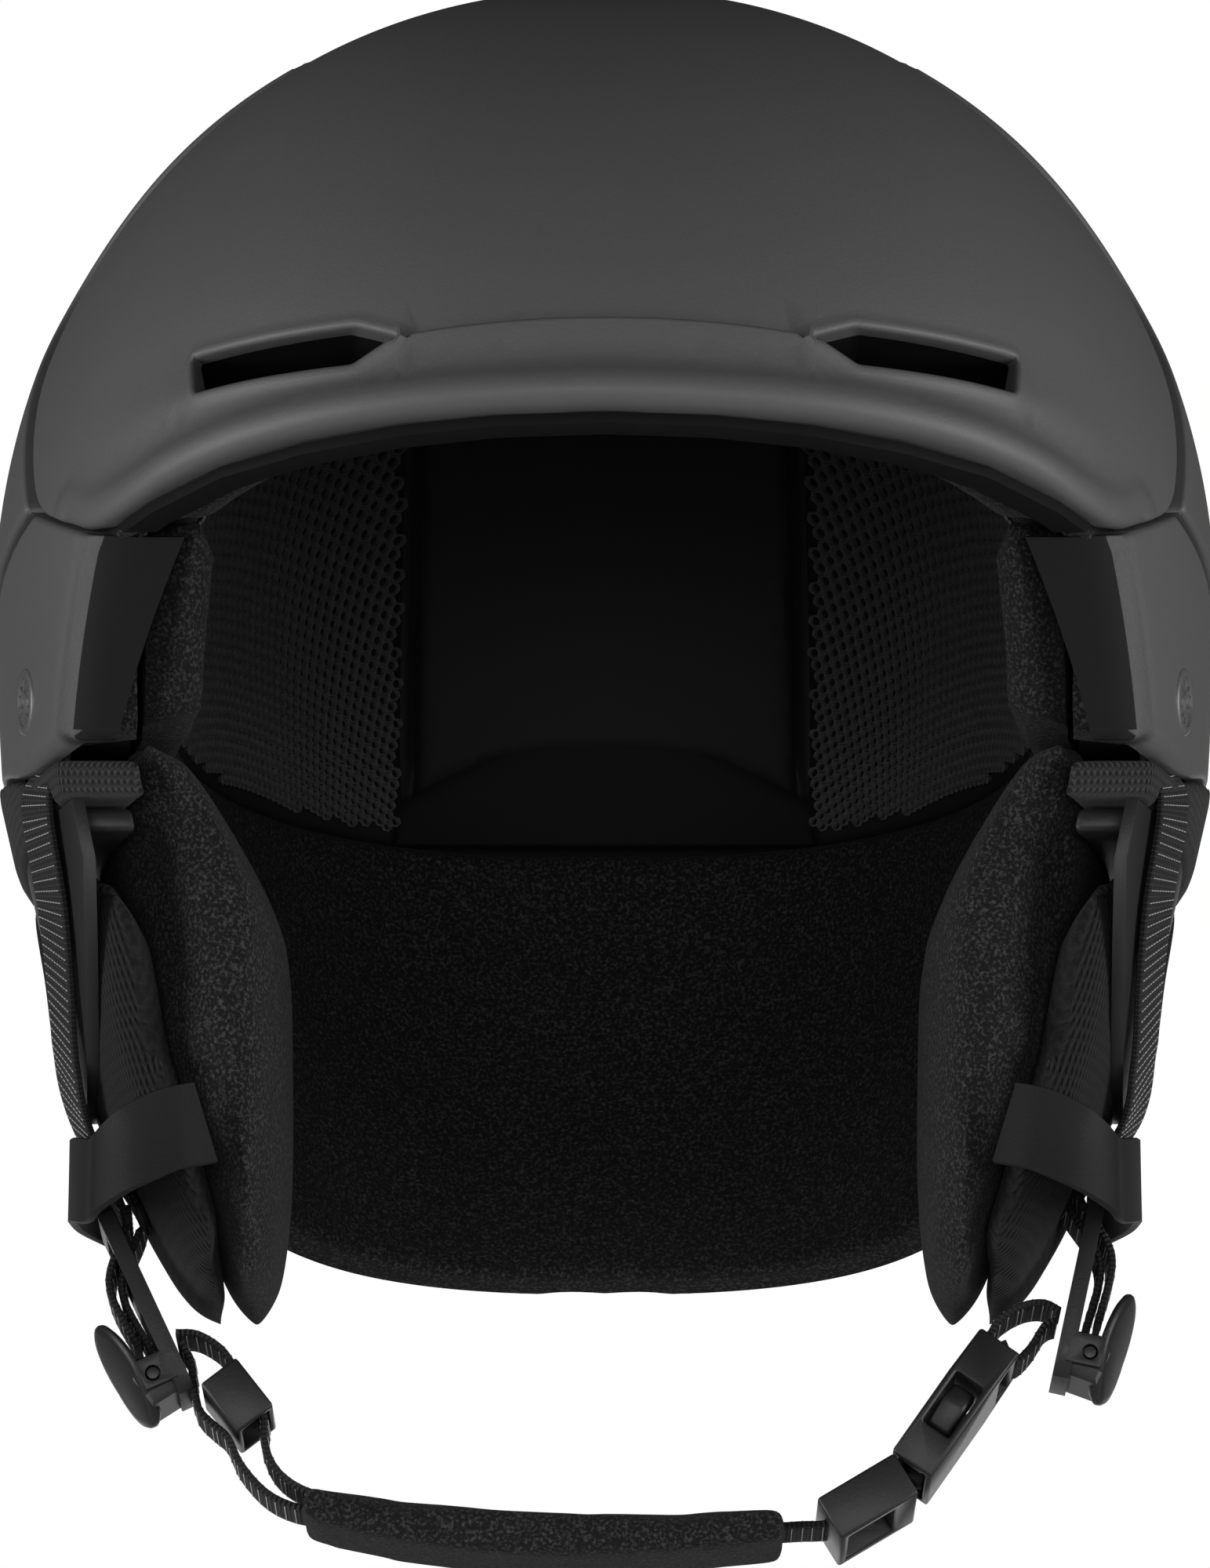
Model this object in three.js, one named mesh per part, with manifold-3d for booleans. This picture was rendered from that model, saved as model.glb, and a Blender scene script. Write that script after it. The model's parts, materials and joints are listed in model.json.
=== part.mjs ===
// A ski helmet with its liner, pads, dial fit system, ear pads and buckled chin strap, as separate solids.
// Millimetres, +Z up, the wearer faces -Y, so the wearer's left is +X.
// The origin is in the head cavity, halfway along the shell, level with the side panels' lower edge.
import * as THREE from "three";
import { mergeVertices } from "three/addons/utils/BufferGeometryUtils.js";
import Module from "manifold-3d";

const wasm = await Module();
wasm.setup();

// ---- driving dimensions ----
const form = {
  halfWidth: 110, // widest half breadth, outside the shell
  front: 133, // from the origin to the brow
  rear: 141, // from the origin to the back of the shell
  rise: 115, // from the waist to the crown
  waist: 38, // height of the widest section
  power: 2.1, // how square the sections are; 2 is an ellipse
  sideTaper: 0.126, // how much the sides draw in below the waist
  rearTaper: 0.3, // how much the nape draws in below the waist
  lengthInset: 1.25, // a layer is this much thicker fore and aft than at the sides
};
const layer = {
  rearProud: -1.5, // the rear shell stands proud of the front shell
  panelProud: -0.6,
  visorProud: -2.2,
  shellIn: 2.6,
  foamOut: 3.2,
  foamIn: 20,
  slipOut: 20.4,
  slipIn: 21.6,
  padOut: 22,
  padIn: 29,
  fleeceIn: 30.5,
  flangeIn: 12.5, // how far the side panels' front edges turn in over the foam
};
// The head cavity is squarer than the shell and opens out towards the face.
const cavity = { power: 2.4, flareWide: 0.15, flareFrom: 45, flareOver: 50, browLift: 56, browDepth: 16, browFlare: 0.2 };
const gap = 0.4; // between pieces that touch on the real helmet
const padLine = 24; // height where the mesh pads stop and the fleece starts
const spokes = 40; // corners round a helmet section
const farOut = 220;

// ---- materials ----
function material(color, roughness, metalness = 0) {
  return new THREE.MeshStandardMaterial({ color, roughness, metalness });
}
const matteShell = material(0x3d3d3d, 0.55);
const blackFoam = material(0x101010, 0.7);
const darkPlastic = material(0x1d1d1d, 0.45);
const fleece = material(0x111111, 0.95);
const meshFabric = material(0x141414, 0.9);
const knitFabric = material(0x181818, 0.9);
const webbing = material(0x131313, 0.8);
const rubber = material(0x1b1b1b, 0.6);
const steel = material(0x777777, 0.35, 1);

// ---- solids ----
function solidOf(geometry) {
  const loose = geometry.index ? geometry.toNonIndexed() : geometry;
  const bare = new THREE.BufferGeometry().setAttribute("position", loose.getAttribute("position"));
  const merged = mergeVertices(bare, 1e-4);
  const triVerts = new Uint32Array(merged.index.array);
  const vertProperties = merged.attributes.position.array;
  const made = new wasm.Manifold(new wasm.Mesh({ numProp: 3, vertProperties, triVerts }));
  if (made.volume() > 0) return made;
  for (let i = 0; i < triVerts.length; i += 3) {
    [triVerts[i + 1], triVerts[i + 2]] = [triVerts[i + 2], triVerts[i + 1]];
  }
  return new wasm.Manifold(new wasm.Mesh({ numProp: 3, vertProperties, triVerts }));
}

// The largest piece of a solid, so that a cut leaves no crumbs.
function mainPiece(solid) {
  return solid.decompose().sort((a, b) => b.volume() - a.volume())[0];
}

const helmet = new THREE.Group();

function addNode(name, solid, look) {
  const mesh = mainPiece(solid).getMesh();
  const geometry = new THREE.BufferGeometry();
  geometry.setAttribute("position", new THREE.BufferAttribute(new Float32Array(mesh.vertProperties), 3));
  geometry.setIndex(new THREE.BufferAttribute(new Uint32Array(mesh.triVerts), 1));
  const node = new THREE.Mesh(geometry, look);
  node.name = name;
  helmet.add(node);
}

// A closed skin through rings of equal length, with a fan over each end.
function loft(rings) {
  const positions = [];
  const put = (...points) => points.forEach((p) => positions.push(p.x, p.y, p.z));
  const count = rings[0].length;
  for (let i = 0; i + 1 < rings.length; i++) {
    for (let j = 0; j < count; j++) {
      const k = (j + 1) % count;
      put(rings[i][j], rings[i][k], rings[i + 1][k]);
      put(rings[i][j], rings[i + 1][k], rings[i + 1][j]);
    }
  }
  const middle = (ring) => ring.reduce((sum, p) => sum.add(p), new THREE.Vector3()).divideScalar(count);
  const first = rings[0];
  const last = rings[rings.length - 1];
  for (let j = 0; j < count; j++) {
    const k = (j + 1) % count;
    put(middle(first), first[k], first[j]);
    put(middle(last), last[j], last[k]);
  }
  const skin = new THREE.BufferGeometry();
  skin.setAttribute("position", new THREE.Float32BufferAttribute(positions, 3));
  return solidOf(skin);
}

function box(width, depth, height, x, y, z) {
  return solidOf(new THREE.BoxGeometry(width, depth, height).translate(x, y, z));
}

// A round bar from one point to another.
function bar(from, to, radius, sides = 16) {
  const along = new THREE.Vector3().subVectors(to, from);
  const turn = new THREE.Quaternion().setFromUnitVectors(new THREE.Vector3(0, 1, 0), along.clone().normalize());
  const shape = new THREE.CylinderGeometry(radius, radius, along.length(), sides);
  const middle = new THREE.Vector3().addVectors(from, to).multiplyScalar(0.5);
  return solidOf(shape.applyQuaternion(turn).translate(middle.x, middle.y, middle.z));
}

// A prism with its outline on two axes, run along a third.
function prism(outline, axes, start, length) {
  const shape = new THREE.Shape(outline.map(([u, v]) => new THREE.Vector2(u, v)));
  const solid = new THREE.ExtrudeGeometry(shape, { depth: length, bevelEnabled: false });
  solid.translate(0, 0, start);
  const [u, v, w] = axes.map((a) => new THREE.Vector3(...a));
  return solidOf(solid.applyMatrix4(new THREE.Matrix4().makeBasis(u, v, w)));
}
// Outlines drawn in side view (Y, Z), run along X.
function sideCut(outline, start = -farOut, length = 2 * farOut) {
  return prism(outline, [[0, 1, 0], [0, 0, 1], [1, 0, 0]], start, length);
}
// Outlines drawn in front view (X, Z), run along -Y from startY forwards.
function frontCut(outline, startY, length) {
  return prism(outline, [[1, 0, 0], [0, 0, 1], [0, -1, 0]], -startY, length);
}
// Outlines drawn from above (X, Y), run up +Z.
function topCut(outline, start, length) {
  return prism(outline, [[1, 0, 0], [0, 1, 0], [0, 0, 1]], start, length);
}
const mirrored = (outline, side) => outline.map(([u, v]) => [side * u, v]);

// ---- the helmet's form ----
function sectionAt(inset, z) {
  const climb = Math.max(0, z - form.waist) / (form.rise - inset);
  const drop = Math.max(0, form.waist - z) / 100;
  const share = Math.pow(Math.max(0, 1 - Math.pow(climb, form.power)), 1 / form.power);
  return {
    side: (form.halfWidth - inset) * share * (1 - form.sideTaper * drop * drop),
    front: (form.front - form.lengthInset * inset) * share,
    rear: (form.rear - form.lengthInset * inset) * share * (1 - form.rearTaper * drop * drop),
  };
}

function ringAt(inset, z) {
  const s = sectionAt(inset, z);
  const round = (value) => Math.sign(value) * Math.pow(Math.abs(value), 2 / form.power);
  return Array.from({ length: spokes }, (_, i) => {
    const turn = (2 * Math.PI * i) / spokes;
    const along = round(Math.cos(turn));
    return new THREE.Vector3(s.side * round(Math.sin(turn)), along * (along < 0 ? s.front : s.rear), z);
  });
}

// Half breadth of the form at a place along its length.
function halfWidthAt(inset, y, z) {
  const s = sectionAt(inset, z);
  const along = Math.min(1, Math.abs(y) / (y < 0 ? s.front : s.rear));
  return s.side * Math.pow(1 - Math.pow(along, form.power), 1 / form.power);
}

// Everything inside the form moved in by inset.
const domeFloor = -80;
function dome(inset, ring = ringAt) {
  const rings = [];
  for (let z = domeFloor; z < form.waist; z += 23.6) rings.push(ring(inset, z));
  const steps = 9;
  for (let i = 0; i < steps; i++) {
    const climb = Math.pow(Math.sin((Math.PI / 2) * (i / steps)), 2 / form.power);
    rings.push(ring(inset, form.waist + climb * (form.rise - inset)));
  }
  rings.push(ring(inset, form.waist + 0.9992 * (form.rise - inset)));
  return loft(rings);
}
const wall = (outer, inner) => dome(outer).subtract(dome(inner));

// The same for the head cavity, with its flared face opening.
function cavityRing(inset, z) {
  const s = sectionAt(inset, z);
  const round = (value) => Math.sign(value) * Math.pow(Math.abs(value), 2 / cavity.power);
  const clamp = (value, most) => Math.min(most, Math.max(0, value));
  return Array.from({ length: spokes }, (_, i) => {
    const turn = (2 * Math.PI * i) / spokes;
    const along = round(Math.cos(turn));
    const y = along * (along < 0 ? s.front : s.rear);
    const lift = clamp((cavity.browLift - z) / cavity.browDepth, 1.2) * clamp(-y / 90, 1);
    const wide = 1 + cavity.flareWide * clamp((-y - cavity.flareFrom) / cavity.flareOver, 1);
    return new THREE.Vector3(s.side * round(Math.sin(turn)) * wide, y * (1 + cavity.browFlare * lift), z);
  });
}
const room = (inset) => dome(inset, cavityRing);
const lining = (outer, inner) => room(outer).subtract(room(inner));

// ---- outlines of the shells in side view ----
const browLine = [[-160, 41], [-133, 41], [-108, 38.5], [-83, 33.5]];
const frontLowEdge = [[-70, 39.5], [-56, 45.5]];
const seam = [[-46, 60], [-33, 77], [-21, 93], [-23, 106], [-33, 122], [-34, 137], [-12, 149], [-4, 175]];
const panelTop = [[-56, 45.5], [-32, 42.5], [-5, 38], [28, 30], [48, 16], [58, 0.4]];
const napeLine = [[58, 0], [66, -8], [85, -17], [108, -24], [160, -26]];
// The lower edge arches over the ear.
const panelFloor = [[-70, 0.4], [-42, 0.4], [-22, 6], [2, 10.5], [26, 9], [58, 0.4]];

const frontRegion = [...browLine, ...frontLowEdge, ...seam, [-160, 175]];
const rearRegion = [...[...seam].reverse(), ...panelTop, ...napeLine.slice(1), [160, 175]];
const panelRegion = [[-83, 33.5], ...frontLowEdge, ...panelTop.slice(1, -1), ...[...panelFloor].reverse()];
const flangeRegion = [[-82.7, 32.5], [-70, 0], [-67.6, 0], [-80.2, 32.5]];
const foamRegion = [
  [-160, 42.5], [-133, 42.5], [-107, 40], [-80, 33.5], [-67, 3], ...panelFloor.slice(1, -1).map(([y, z]) => [y, z + 2.6]),
  [64, -6], [84, -15.5], [107, -22], [160, -24], [160, 175], [-160, 175],
];
const moved = (outline, dy, dz) => outline.map(([y, z]) => [y + dy, z + dz]);

// ---- vents ----
const frontVent = [[35.1, 55.7], [42.9, 58.9], [71.6, 59.7], [70.3, 52.3], [42.9, 51.4]];
const crownVent = [[40, 8], [52, 4], [56, 40], [50, 52], [43, 48]];
const rearVent = [[14, 62], [44, 50], [47, 42], [38, 40], [14, 50]];

function ventCuts() {
  const cuts = [];
  for (const side of [-1, 1]) {
    cuts.push(frontCut(mirrored(frontVent, side), -50, farOut));
    cuts.push(topCut(mirrored(crownVent, side), 80, farOut));
    cuts.push(frontCut(mirrored(rearVent, side), farOut, farOut - 70));
  }
  return cuts;
}
const vents = ventCuts().reduce((all, cut) => all.add(cut));

// ---- shells ----
function buildShells() {
  const skin = wall(0, layer.shellIn);
  const visor = wall(layer.visorProud, layer.shellIn)
    .intersect(sideCut([[-160, 41], [-133, 41], [-108, 38.5], [-90, 35.2], [-82, 57], [-160, 57]]));
  const front = skin.add(visor).intersect(sideCut(frontRegion)).subtract(vents);
  addNode("front_shell", front, matteShell);

  const rear = wall(layer.rearProud, layer.shellIn)
    .intersect(sideCut(moved(rearRegion, gap, gap)))
    .subtract(sideCut(frontRegion))
    .subtract(vents);
  addNode("rear_shell", rear, matteShell);

  const flange = wall(layer.panelProud, layer.flangeIn).intersect(sideCut(flangeRegion));
  const panels = wall(layer.panelProud, layer.shellIn)
    .intersect(sideCut(moved(panelRegion, 0, -gap)))
    .add(flange)
    .subtract(sideCut(moved(frontRegion, 0, -gap)))
    .subtract(sideCut(moved(rearRegion, -gap, -gap)));
  for (const side of [-1, 1]) {
    const half = box(farOut, 2 * farOut, 2 * farOut, (side * farOut) / 2 + side * 20, 0, 0);
    const badge = badgeOf(side, badgeSize.radius);
    const seat = badgeOf(side, badgeSize.radius + 0.35);
    const word = side > 0 ? "left" : "right";
    addNode(`side_panel_${word}`, panels.intersect(half).subtract(seat), matteShell);
    addNode(`side_badge_${word}`, badge, darkPlastic);
  }
}

// ---- round badges let into the side panels ----
const badgeSize = { radius: 6.4, thickness: 1.4, y: -50, z: 12 };
function badgeOf(side, radius) {
  const at = (y, z) => new THREE.Vector3(side * halfWidthAt(layer.panelProud, y, z), y, z);
  const centre = at(badgeSize.y, badgeSize.z);
  const ahead = at(badgeSize.y + 2, badgeSize.z).sub(centre);
  const above = at(badgeSize.y, badgeSize.z + 2).sub(centre);
  const out = new THREE.Vector3().crossVectors(ahead, above).normalize().multiplyScalar(side);
  const from = centre.clone().addScaledVector(out, -badgeSize.thickness);
  return bar(from, centre.clone().addScaledVector(out, 0.5), radius, 24);
}

// ---- straps ----
const strap = { width: 15, thickness: 1.4 };
// A flat strap through points, each with the direction its width runs in.
function ribbon(stations, width = strap.width, thickness = strap.thickness) {
  const centres = stations.map((s) => new THREE.Vector3(...s.at));
  const rings = centres.map((centre, i) => {
    const before = centres[Math.max(0, i - 1)];
    const after = centres[Math.min(centres.length - 1, i + 1)];
    const along = new THREE.Vector3().subVectors(after, before).normalize();
    const across = new THREE.Vector3(...stations[i].across);
    across.addScaledVector(along, -across.dot(along)).normalize();
    const out = new THREE.Vector3().crossVectors(along, across);
    return [[-1, -1], [1, -1], [1, 1], [-1, 1]].map(([u, v]) =>
      centre.clone().addScaledVector(across, (u * width) / 2).addScaledVector(out, (v * thickness) / 2));
  });
  return loft(rings);
}

// Outer face of the ear pads' plastic plate: where it lies at a height and a place along the helmet.
const ear = {
  top: -0.6,
  bottom: -92,
  outTop: 106.6, // half breadth over the plates at the top
  outSlope: 0.235,
  plateLength: 131, // how fast the plate curves in towards the front
  plateFront: -58,
  plateBack: 44,
  plateFloor: -54,
  plateThick: 2.2,
};
function plateAt(y, z) {
  const low = Math.max(0, -45 - z);
  const tuck = low < 17 ? 0.0065 * low ** 2 : 1.88 + 0.221 * (low - 17);
  return (ear.outTop + ear.outSlope * z - tuck) * Math.sqrt(1 - (y / ear.plateLength) ** 2);
}

const frontStrapLine = [
  { z: 20, y: -46, out: -6.2 }, { z: 9, y: -46, out: -4.6 }, { z: 1, y: -45.7, out: -3.3 },
  { z: -3.5, y: -45, out: 0.2 }, { z: -9, y: -44, out: 1.6 }, { z: -22, y: -40.7, out: 1.7 },
  { z: -35, y: -34, out: 1.8 }, { z: -47, y: -26, out: 2.3 }, { z: -57, y: -17, out: 2.2 },
];
const rearStrapLine = [
  { z: 18, y: 36, out: -6.4 }, { z: 9, y: 35.7, out: -4.8 }, { z: 1, y: 35, out: -2.8 },
  { z: -3.5, y: 34, out: 0 }, { z: -9, y: 32.5, out: 1.6 }, { z: -22, y: 28.5, out: 1.7 },
  { z: -35, y: 20.5, out: 1.7 }, { z: -47, y: 11.5, out: 1.4 }, { z: -57, y: 2, out: -0.4 },
];
function strapStations(line, side) {
  return line.map(({ z, y, out }) => {
    const slope = plateAt(y + 1, z) - plateAt(y - 1, z);
    return { at: [side * (plateAt(y, z) + out), y, z], across: [side * slope * 0.5, 1, 0.16] };
  });
}

// ---- dividers below the ears: a slotted frame with a locking lever hinged at its foot ----
const divider = {
  width: 21,
  frameLength: 30,
  frameThick: 3,
  leverRadius: 9.8,
  leverThick: 2.2,
  openAngle: (8 * Math.PI) / 180,
  y: -8,
  pinX: 4.2, // the pin stands this far outside the frame
  pinRadius: 1.1,
};
// Where each divider hangs and how far its top leans out from the vertical.
const dividerPlace = {
  left: { side: 1, x: 82, z: -98, lean: (12.4 * Math.PI) / 180 },
  right: { side: -1, x: 76.4, z: -100.9, lean: (25 * Math.PI) / 180 },
};
// Local frame of a divider: x outwards, y along the helmet, z up the frame, origin on the lever's pin.
function dividerMatrix({ side, x, z, lean }) {
  const turn = new THREE.Matrix4().makeRotationY(side * lean);
  const flip = new THREE.Matrix4().makeScale(side, 1, 1);
  return new THREE.Matrix4().makeTranslation(side * x, divider.y, z).multiply(turn).multiply(flip);
}
const placed = (solid, matrix) => solid.transform(matrix.elements);

function pinBar(half, radius) {
  return bar(new THREE.Vector3(divider.pinX, -half, 0), new THREE.Vector3(divider.pinX, half, 0), radius);
}
function dividerFrame() {
  const { width, frameLength, frameThick } = divider;
  const plate = box(frameThick, width, frameLength - 2, 0, 0, frameLength / 2 + 1);
  const foot = bar(new THREE.Vector3(-frameThick / 2, 0, 2), new THREE.Vector3(frameThick / 2, 0, 2), width / 2, 28);
  const flatFoot = foot.intersect(box(frameThick + 2, width, 12, 0, 0, 1));
  const window = box(frameThick + 2, width - 5, 9.5, 0, 0, 8.4);
  const topWindow = box(frameThick + 2, width - 5, 10.8, 0, 0, 21.4);
  const ear = box(6.2, 2.4, 5.4, 3.4, width / 2 - 1.2, 0.4);
  const ears = ear.add(ear.mirror([0, 1, 0]));
  const pinHole = pinBar(20, divider.pinRadius + 0.35);
  return plate.add(flatFoot).add(ears).subtract(window).subtract(topWindow).subtract(pinHole);
}
function dividerLever() {
  const { leverRadius, leverThick, openAngle, width } = divider;
  const disc = bar(new THREE.Vector3(2, 0, 4.4), new THREE.Vector3(2 + leverThick, 0, 4.4), leverRadius, 32);
  const knuckle = bar(new THREE.Vector3(0, -width / 2 + 3, 0), new THREE.Vector3(0, width / 2 - 3, 0), 2.2);
  const neck = box(3.4, width - 6, 3.4, 1.3, 0, 0.4);
  const hole = bar(new THREE.Vector3(0, -20, 0), new THREE.Vector3(0, 20, 0), divider.pinRadius + 0.35);
  const shut = disc.add(knuckle).add(neck).subtract(hole);
  const opened = new THREE.Matrix4().makeTranslation(divider.pinX, 0, 0).multiply(new THREE.Matrix4().makeRotationY(openAngle));
  const room = box(8, 4, 8, 3, width / 2 - 1.2, 0.4);
  return placed(shut.subtract(room).subtract(room.mirror([0, 1, 0])), opened);
}
function dividerPin() {
  return pinBar(divider.width / 2 - 0.2, divider.pinRadius);
}

// Both straps run down outside the plate, then through the divider's windows.
function strapLines(word) {
  const place = dividerPlace[word];
  const matrix = dividerMatrix(place);
  const inFrame = (x, z) => ({ at: new THREE.Vector3(x, 0, z).applyMatrix4(matrix).toArray(), across: [0, 1, 0] });
  const front = [[-3.2, 30.5], [-2.6, 27], [4.5, 18.6], [4.5, 6]];
  const rear = [[-6, 30], [-4.9, 26], [2.7, 17.3], [2.7, 5]];
  return {
    front: [...strapStations(frontStrapLine, place.side), ...front.map(([x, z]) => inFrame(x, z))],
    rear: [...strapStations(rearStrapLine, place.side), ...rear.map(([x, z]) => inFrame(x, z))],
  };
}

function buildStraps() {
  const pockets = [];
  for (const word of ["left", "right"]) {
    const place = dividerPlace[word];
    const matrix = dividerMatrix(place);
    addNode(`front_strap_${word}`, ribbon(strapLines(word).front), webbing);
    const over = ribbon(strapLines(word).front, strap.width + 1, strap.thickness + 0.6);
    addNode(`rear_strap_${word}`, ribbon(strapLines(word).rear, 13).subtract(over), webbing);
    for (const [spot, line] of [["front", frontStrapLine], ["rear", rearStrapLine]]) {
      pockets.push(ribbon(strapStations(line.slice(0, 3), place.side), strap.width + 3, strap.thickness + 4));
      const end = strapStations(line.slice(0, 1), place.side)[0].at;
      const inner = new THREE.Vector3(end[0] - place.side * 4.8, end[1], end[2] - 5);
      const outer = new THREE.Vector3(end[0] - place.side * 2.6, end[1], end[2] - 5);
      addNode(`strap_anchor_${spot}_${word}`, bar(inner, outer, 4, 20), steel);
      pockets.push(bar(inner.clone().setX(inner.x - place.side), outer, 5, 20));
    }
    addNode(`divider_frame_${word}`, placed(dividerFrame(), matrix), darkPlastic);
    addNode(`divider_lever_${word}`, placed(dividerLever(), matrix), darkPlastic);
    addNode(`divider_pin_${word}`, placed(dividerPin(), matrix), steel);
  }
  return pockets.reduce((all, pocket) => all.add(pocket));
}

// ---- foam liner and what lies on it ----
function buildLiner(strapPockets) {
  const foam = dome(layer.foamOut).subtract(room(layer.foamIn)).intersect(sideCut(foamRegion));
  addNode("foam_liner", foam.subtract(vents).subtract(strapPockets), blackFoam);

  const middle = [[-46, -130], [46, -130], [46, 130], [-46, 130]];
  const above = [[-160, 62], [-96, 62], [-60, padLine + 2], [160, padLine + 2], [160, 175], [-160, 175]];
  const slip = lining(layer.slipOut, layer.slipIn).intersect(sideCut(above)).intersect(topCut(middle, 0, farOut));
  addNode("slip_liner", slip, darkPlastic);

  const pads = lining(layer.padOut, layer.padIn);
  const channel = [[-33, -130], [33, -130], [35, 0], [42, 130], [-42, 130], [-35, 0]];
  const meshed = pads.intersect(sideCut(meshRegion)).subtract(topCut(channel, -50, farOut));
  for (const side of [-1, 1]) {
    const half = box(farOut, 2 * farOut, 2 * farOut, (side * farOut) / 2, 0, 0);
    addNode(`mesh_pad_${side > 0 ? "left" : "right"}`, meshed.intersect(half), meshFabric);
  }
  addNode("brow_pad", pads.intersect(sideCut(browRegion)), fleece);
  addNode("fleece_lining", lining(layer.padOut, layer.fleeceIn).intersect(sideCut(fleeceRegion)), fleece);

  const trim = [[-160, 38.6], [-133, 38.6], [-108, 36], [-88, 32.2], [-86, 34], [-108, 38], [-133, 40.5], [-160, 40.5]];
  addNode("brow_trim", wall(0.4, 4.6).intersect(sideCut(trim)), rubber);
}
const browRegion = [[-160, 43], [-133, 43], [-107, 40.6], [-84, 35.5], [-76, 37.5], [-92, 50], [-110, 58], [-160, 58]];
const meshRegion = [
  [-160, 58.6], [-110, 58.6], [-92, 50.6], [-75.6, 38], [-60, padLine + 0.4], [160, padLine + 0.4], [160, 175], [-160, 175],
];
const fleeceRegion = [
  [-66, 5], [-79, 34.8], [-75.4, 36.8], [-60.4, padLine], [160, padLine], [160, -71], [90, -71], [66, -67.5], [45, -60],
  [47, -30], [51, 5],
];

// ---- ear pads ----
// The fleece face leans in below the lining and stands against the cheek.
function padInnerAt(y, z) {
  const lean = Math.max(0, (z + 20) / 20) ** 1.2;
  return 58 + 0.03 * z + 17 * lean + 3 * (y / 50) ** 2;
}
const padSeamDepth = 14; // from the plate's outer face to the seam between knit and fleece
const knitTop = -13;
function padRing(z, part) {
  const fall = (z - ear.top) / (ear.bottom - ear.top);
  const shape = Math.sqrt(Math.max(0.0004, 1 - Math.max(0, (fall - 0.62) / 0.38) ** 2.4));
  const crown = part === "knit" ? Math.min(1, 0.45 + (knitTop - z) / 16) : 1;
  const round = Math.min(shape, crown);
  const centre = -7 - 3 * fall;
  const halfLength = (51 - 9 * fall) * (0.32 + 0.68 * round);
  const ring = [];
  const count = 26;
  for (let i = 0; i < count; i++) {
    const turn = (2 * Math.PI * i) / count;
    const y = centre + halfLength * Math.sign(Math.cos(turn)) * Math.abs(Math.cos(turn)) ** 0.85;
    const seamAt = plateAt(y, z) - padSeamDepth + 3 * Math.max(0, fall) ** 2;
    const [near, far] = part === "knit"
      ? [seamAt + gap / 2, plateAt(y, z) - ear.plateThick - gap]
      : [padInnerAt(y, z), seamAt - gap / 2];
    const middle = (near + far) / 2;
    const lift = Math.sign(Math.sin(turn)) * Math.abs(Math.sin(turn)) ** 0.62;
    const half = ((far - near) / 2) * (0.25 + 0.75 * round);
    const lean = (part === "knit" ? -1 : 1) * (1 - shape) * 3.5;
    ring.push(new THREE.Vector3(middle + lean + half * lift, y, z));
  }
  return ring;
}
function buildEarPads() {
  const levels = [0, 0.12, 0.26, 0.4, 0.54, 0.66, 0.76, 0.85, 0.92, 0.97, 1];
  for (const word of ["left", "right"]) {
    const side = word === "left" ? 1 : -1;
    const flip = (ring) => ring.map((p) => new THREE.Vector3(side * p.x, p.y, p.z));
    for (const part of ["fleece", "knit"]) {
      const top = part === "knit" ? knitTop : ear.top;
      const rings = levels.map((t) => flip(padRing(top + t * (ear.bottom - top), part)));
      const pad = part === "knit" ? loft(rings).subtract(strapDent(word)) : loft(rings);
      addNode(`ear_pad_${part}_${word}`, pad, part === "knit" ? knitFabric : fleece);
    }
    const under = ribbon(strapLines(word).rear, strap.width, strap.thickness + 0.6);
    addNode(`ear_plate_${word}`, platePiece(side).subtract(under), darkPlastic);
    addNode(`ear_mount_${word}`, mountPiece(side), darkPlastic);
    addNode(`ear_binding_${word}`, bindingPiece(side), knitFabric);
    addNode(`strap_keeper_${word}`, keeperPiece(side), rubber);
  }
}

// A wall that follows the ear plate's outer face, between two offsets from it.
function plateWall(side, from, to, top, floor, inset, outset) {
  const steps = 12;
  const levels = [0, 0.35, 0.7, 1];
  const rings = Array.from({ length: steps + 1 }, (_, i) => {
    const t = i / steps;
    const y = from + (to - from) * t;
    const point = (level, out) => {
      const z = top(t) + (floor(t) - top(t)) * level;
      return new THREE.Vector3(side * (plateAt(y, z) + out), y, z);
    };
    const outside = levels.map((level) => point(level, outset));
    return [...outside, ...[...levels].reverse().map((level) => point(level, inset))];
  });
  return loft(rings);
}
const constant = (value) => () => value;
function platePiece(side) {
  const floor = (t) => ear.plateFloor + 44 * Math.abs(2 * t - 0.92) ** 2.6;
  return plateWall(side, ear.plateFront, ear.plateBack, constant(ear.top - 7.4), floor,
    -ear.plateThick, 0);
}
function panelFloorAt(y) {
  const i = Math.max(1, panelFloor.findIndex(([py]) => py >= y));
  const [[y0, z0], [y1, z1]] = [panelFloor[i - 1], panelFloor[i]];
  return z0 + ((z1 - z0) * (y - y0)) / (y1 - y0);
}
// A rolled woven binding along the top of the ear pad, under the side panel.
function bindingPiece(side) {
  const arch = (t) => panelFloorAt(ear.plateFront - 1 + (ear.plateBack - ear.plateFront + 1) * t) - 1.1;
  const roll = plateWall(side, ear.plateFront - 1, ear.plateBack, arch,
    constant(ear.top - 7), -13.2, 1.9);
  const groove = (line) => ribbon(strapStations(line.slice(1, 6), side), strap.width + 1.2, strap.thickness + 0.8);
  return roll.subtract(groove(frontStrapLine)).subtract(groove(rearStrapLine));
}
// The straps and the divider press into the knit cover.
function strapDent(word) {
  const lines = strapLines(word);
  const channel = (line) => ribbon(line.slice(6, 12), strap.width + 2, strap.thickness + 4);
  const frame = placed(box(4.6, divider.width + 2, 38, 0, 0, 12), dividerMatrix(dividerPlace[word]));
  return channel(lines.front).add(channel(lines.rear)).add(frame);
}
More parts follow.
